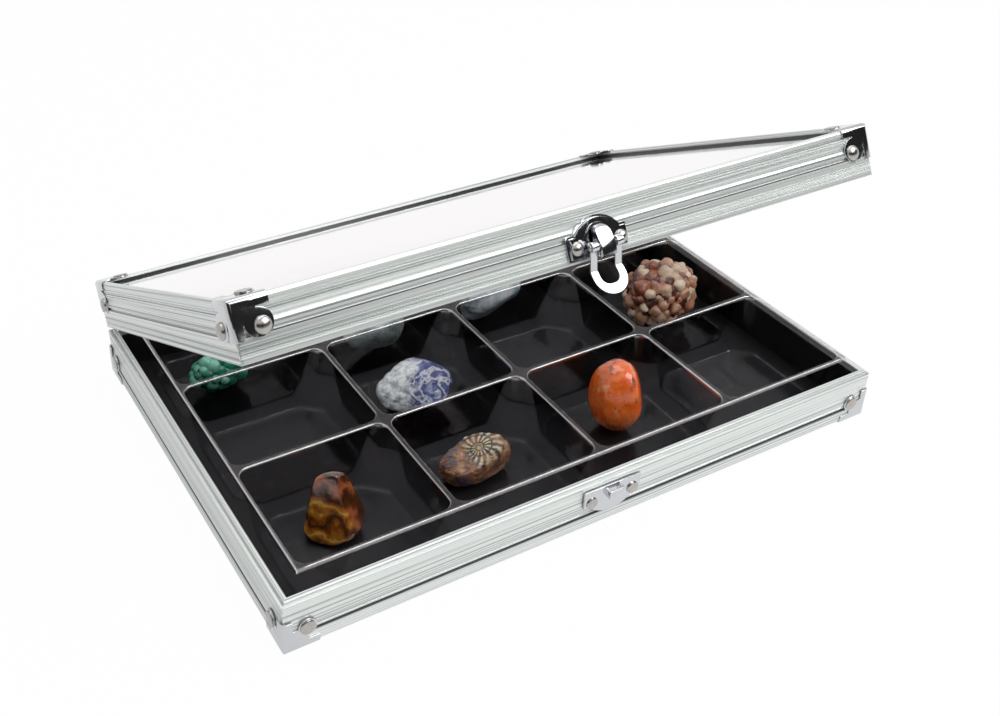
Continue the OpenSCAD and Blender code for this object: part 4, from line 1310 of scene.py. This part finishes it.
def studio_world(level):
    """A white studio: seen as white, and lighting the object with a softer level."""
    world = bpy.data.worlds.new("Studio")
    bpy.context.scene.world = world
    world.use_nodes = True
    g = Graph(world.node_tree)
    way = g.node("ShaderNodeTexCoord").outputs["Generated"]
    path = g.node("ShaderNodeLightPath")

    def step(index, start, end):
        return g.ranged(g.axis(way, index), start, end, interpolation_type="SMOOTHSTEP")

    # a dark room in front of the case, from just above the horizon up, that only reflections see
    room = g.math("MULTIPLY", step(1, -0.15, -0.45), step(2, 0.02, 0.10))
    room = g.math("MULTIPLY", room, step(2, 0.66, 0.50))

    def backdrop(strength, grey=1.0):
        values = {"Color": (grey, grey, grey, 1), "Strength": strength}
        return g.node("ShaderNodeBackground", values).outputs[0]

    mirrored = backdrop(g.ranged(room, 0.0, 1.0, 1.0, 0.025), 0.8)
    first = g.node("ShaderNodeMixShader", {0: path.outputs["Is Glossy Ray"], 1: backdrop(level), 2: mirrored})
    seen = g.math("MAXIMUM", path.outputs["Is Camera Ray"], path.outputs["Is Transmission Ray"])
    second = g.node("ShaderNodeMixShader", {0: seen, 1: first.outputs[0], 2: backdrop(1.0)})
    g.node("ShaderNodeOutputWorld", {"Surface": second.outputs[0]})


def pale_floor():
    """A large pale floor that keeps the object's soft shadow."""
    points = [Vector((x, y, CAD_LOW.z - 0.0002)) for x, y in ((-6, -6), (6, -6), (6, 6), (-6, 6))]
    floor = mesh_object("floor", points, [(0, 1, 2, 3)], smooth=False)
    f = Finish("Pale floor")
    path = f.node("ShaderNodeLightPath")
    grain = f.noise(f.where(), 3.0, 2, 0.5)
    colour = f.mix(f.span(grain, 0, 0.2), (0.93, 0.93, 0.935), (0.90, 0.90, 0.905))
    surface = f.node(
        "ShaderNodeBsdfPrincipled", {"Base Color": colour, "Roughness": 0.7, "Specular IOR Level": 0.2}
    )
    glow = f.node("ShaderNodeEmission", {"Color": (1, 1, 1, 1), "Strength": 1.0})
    either = f.math("MAXIMUM", path.outputs["Is Camera Ray"], path.outputs["Is Transmission Ray"])
    shade = f.ranged(f.axis(f.place(), 0), -0.20, -0.12, 0.45, 0.97)
    mirrored = f.math("MULTIPLY", path.outputs["Is Glossy Ray"], shade)
    # what the camera sees of the floor is nearly plain white, so that only its soft shadow is left
    share = f.math("MULTIPLY_ADD", either, 0.975, mirrored, clamp=True)
    both = f.node("ShaderNodeMixShader", {0: share, 1: surface.outputs[0], 2: glow.outputs[0]})
    floor.data.materials.append(f.finish(both))


class SPECIMEN_OT_stage(bpy.types.Operator):
    """Set the camera, the lights and the pale floor"""

    bl_idname = "specimen.stage"
    bl_label = "Stage"

    def execute(self, context):
        look = context.scene.specimen_stage
        camera_at_photograph()
        studio_world(look.world_level)
        area_light("Key", (0.7, -0.75, 1.25), (0, 0, 0.08), (1.3, 1.0), look.key_power)
        area_light("Top", (0.0, 0.45, 1.4), (0, 0, 0.08), (1.4, 0.9), look.fill_power)
        pale_floor()
        context.scene.view_settings.view_transform = "Standard"
        return {"FINISHED"}


# ---- add-on


class SPECIMEN_PT_panel(bpy.types.Panel):
    """Sizes, colours and steps of the specimen box"""

    bl_idname = "SPECIMEN_PT_panel"
    bl_label = "Specimen Box"
    bl_space_type = "VIEW_3D"
    bl_region_type = "UI"
    bl_category = "Specimen Box"

    def draw(self, context):
        layout = self.layout
        scene = context.scene
        for group in (scene.specimen_metal, scene.specimen_tray, scene.specimen_stage):
            box = layout.box()
            for key in group.__annotations__:
                box.prop(group, key)
        column = layout.column(align=True)
        for operator in OPERATORS:
            column.operator(operator.bl_idname)


OPERATORS = (
    SPECIMEN_OT_stage,
    SPECIMEN_OT_rails,
    SPECIMEN_OT_panels,
    SPECIMEN_OT_fittings,
    SPECIMEN_OT_rivets,
    SPECIMEN_OT_tray,
    SPECIMEN_OT_stones,
)
GROUPS = (SpecimenMetal, SpecimenTray, SpecimenStage)
CLASSES = (*GROUPS, *OPERATORS, SPECIMEN_PT_panel)


def register():
    for item in CLASSES:
        bpy.utils.register_class(item)
    bpy.types.Scene.specimen_metal = PointerProperty(type=SpecimenMetal)
    bpy.types.Scene.specimen_tray = PointerProperty(type=SpecimenTray)
    bpy.types.Scene.specimen_stage = PointerProperty(type=SpecimenStage)


def unregister():
    del bpy.types.Scene.specimen_stage
    del bpy.types.Scene.specimen_tray
    del bpy.types.Scene.specimen_metal
    for item in reversed(CLASSES):
        bpy.utils.unregister_class(item)


def main():
    register()
    bpy.ops.specimen.stage()
    bpy.ops.specimen.rails()
    bpy.ops.specimen.panels()
    bpy.ops.specimen.fittings()
    bpy.ops.specimen.rivets()
    bpy.ops.specimen.tray()
    bpy.ops.specimen.stones()


if __name__ == "__main__":
    main()
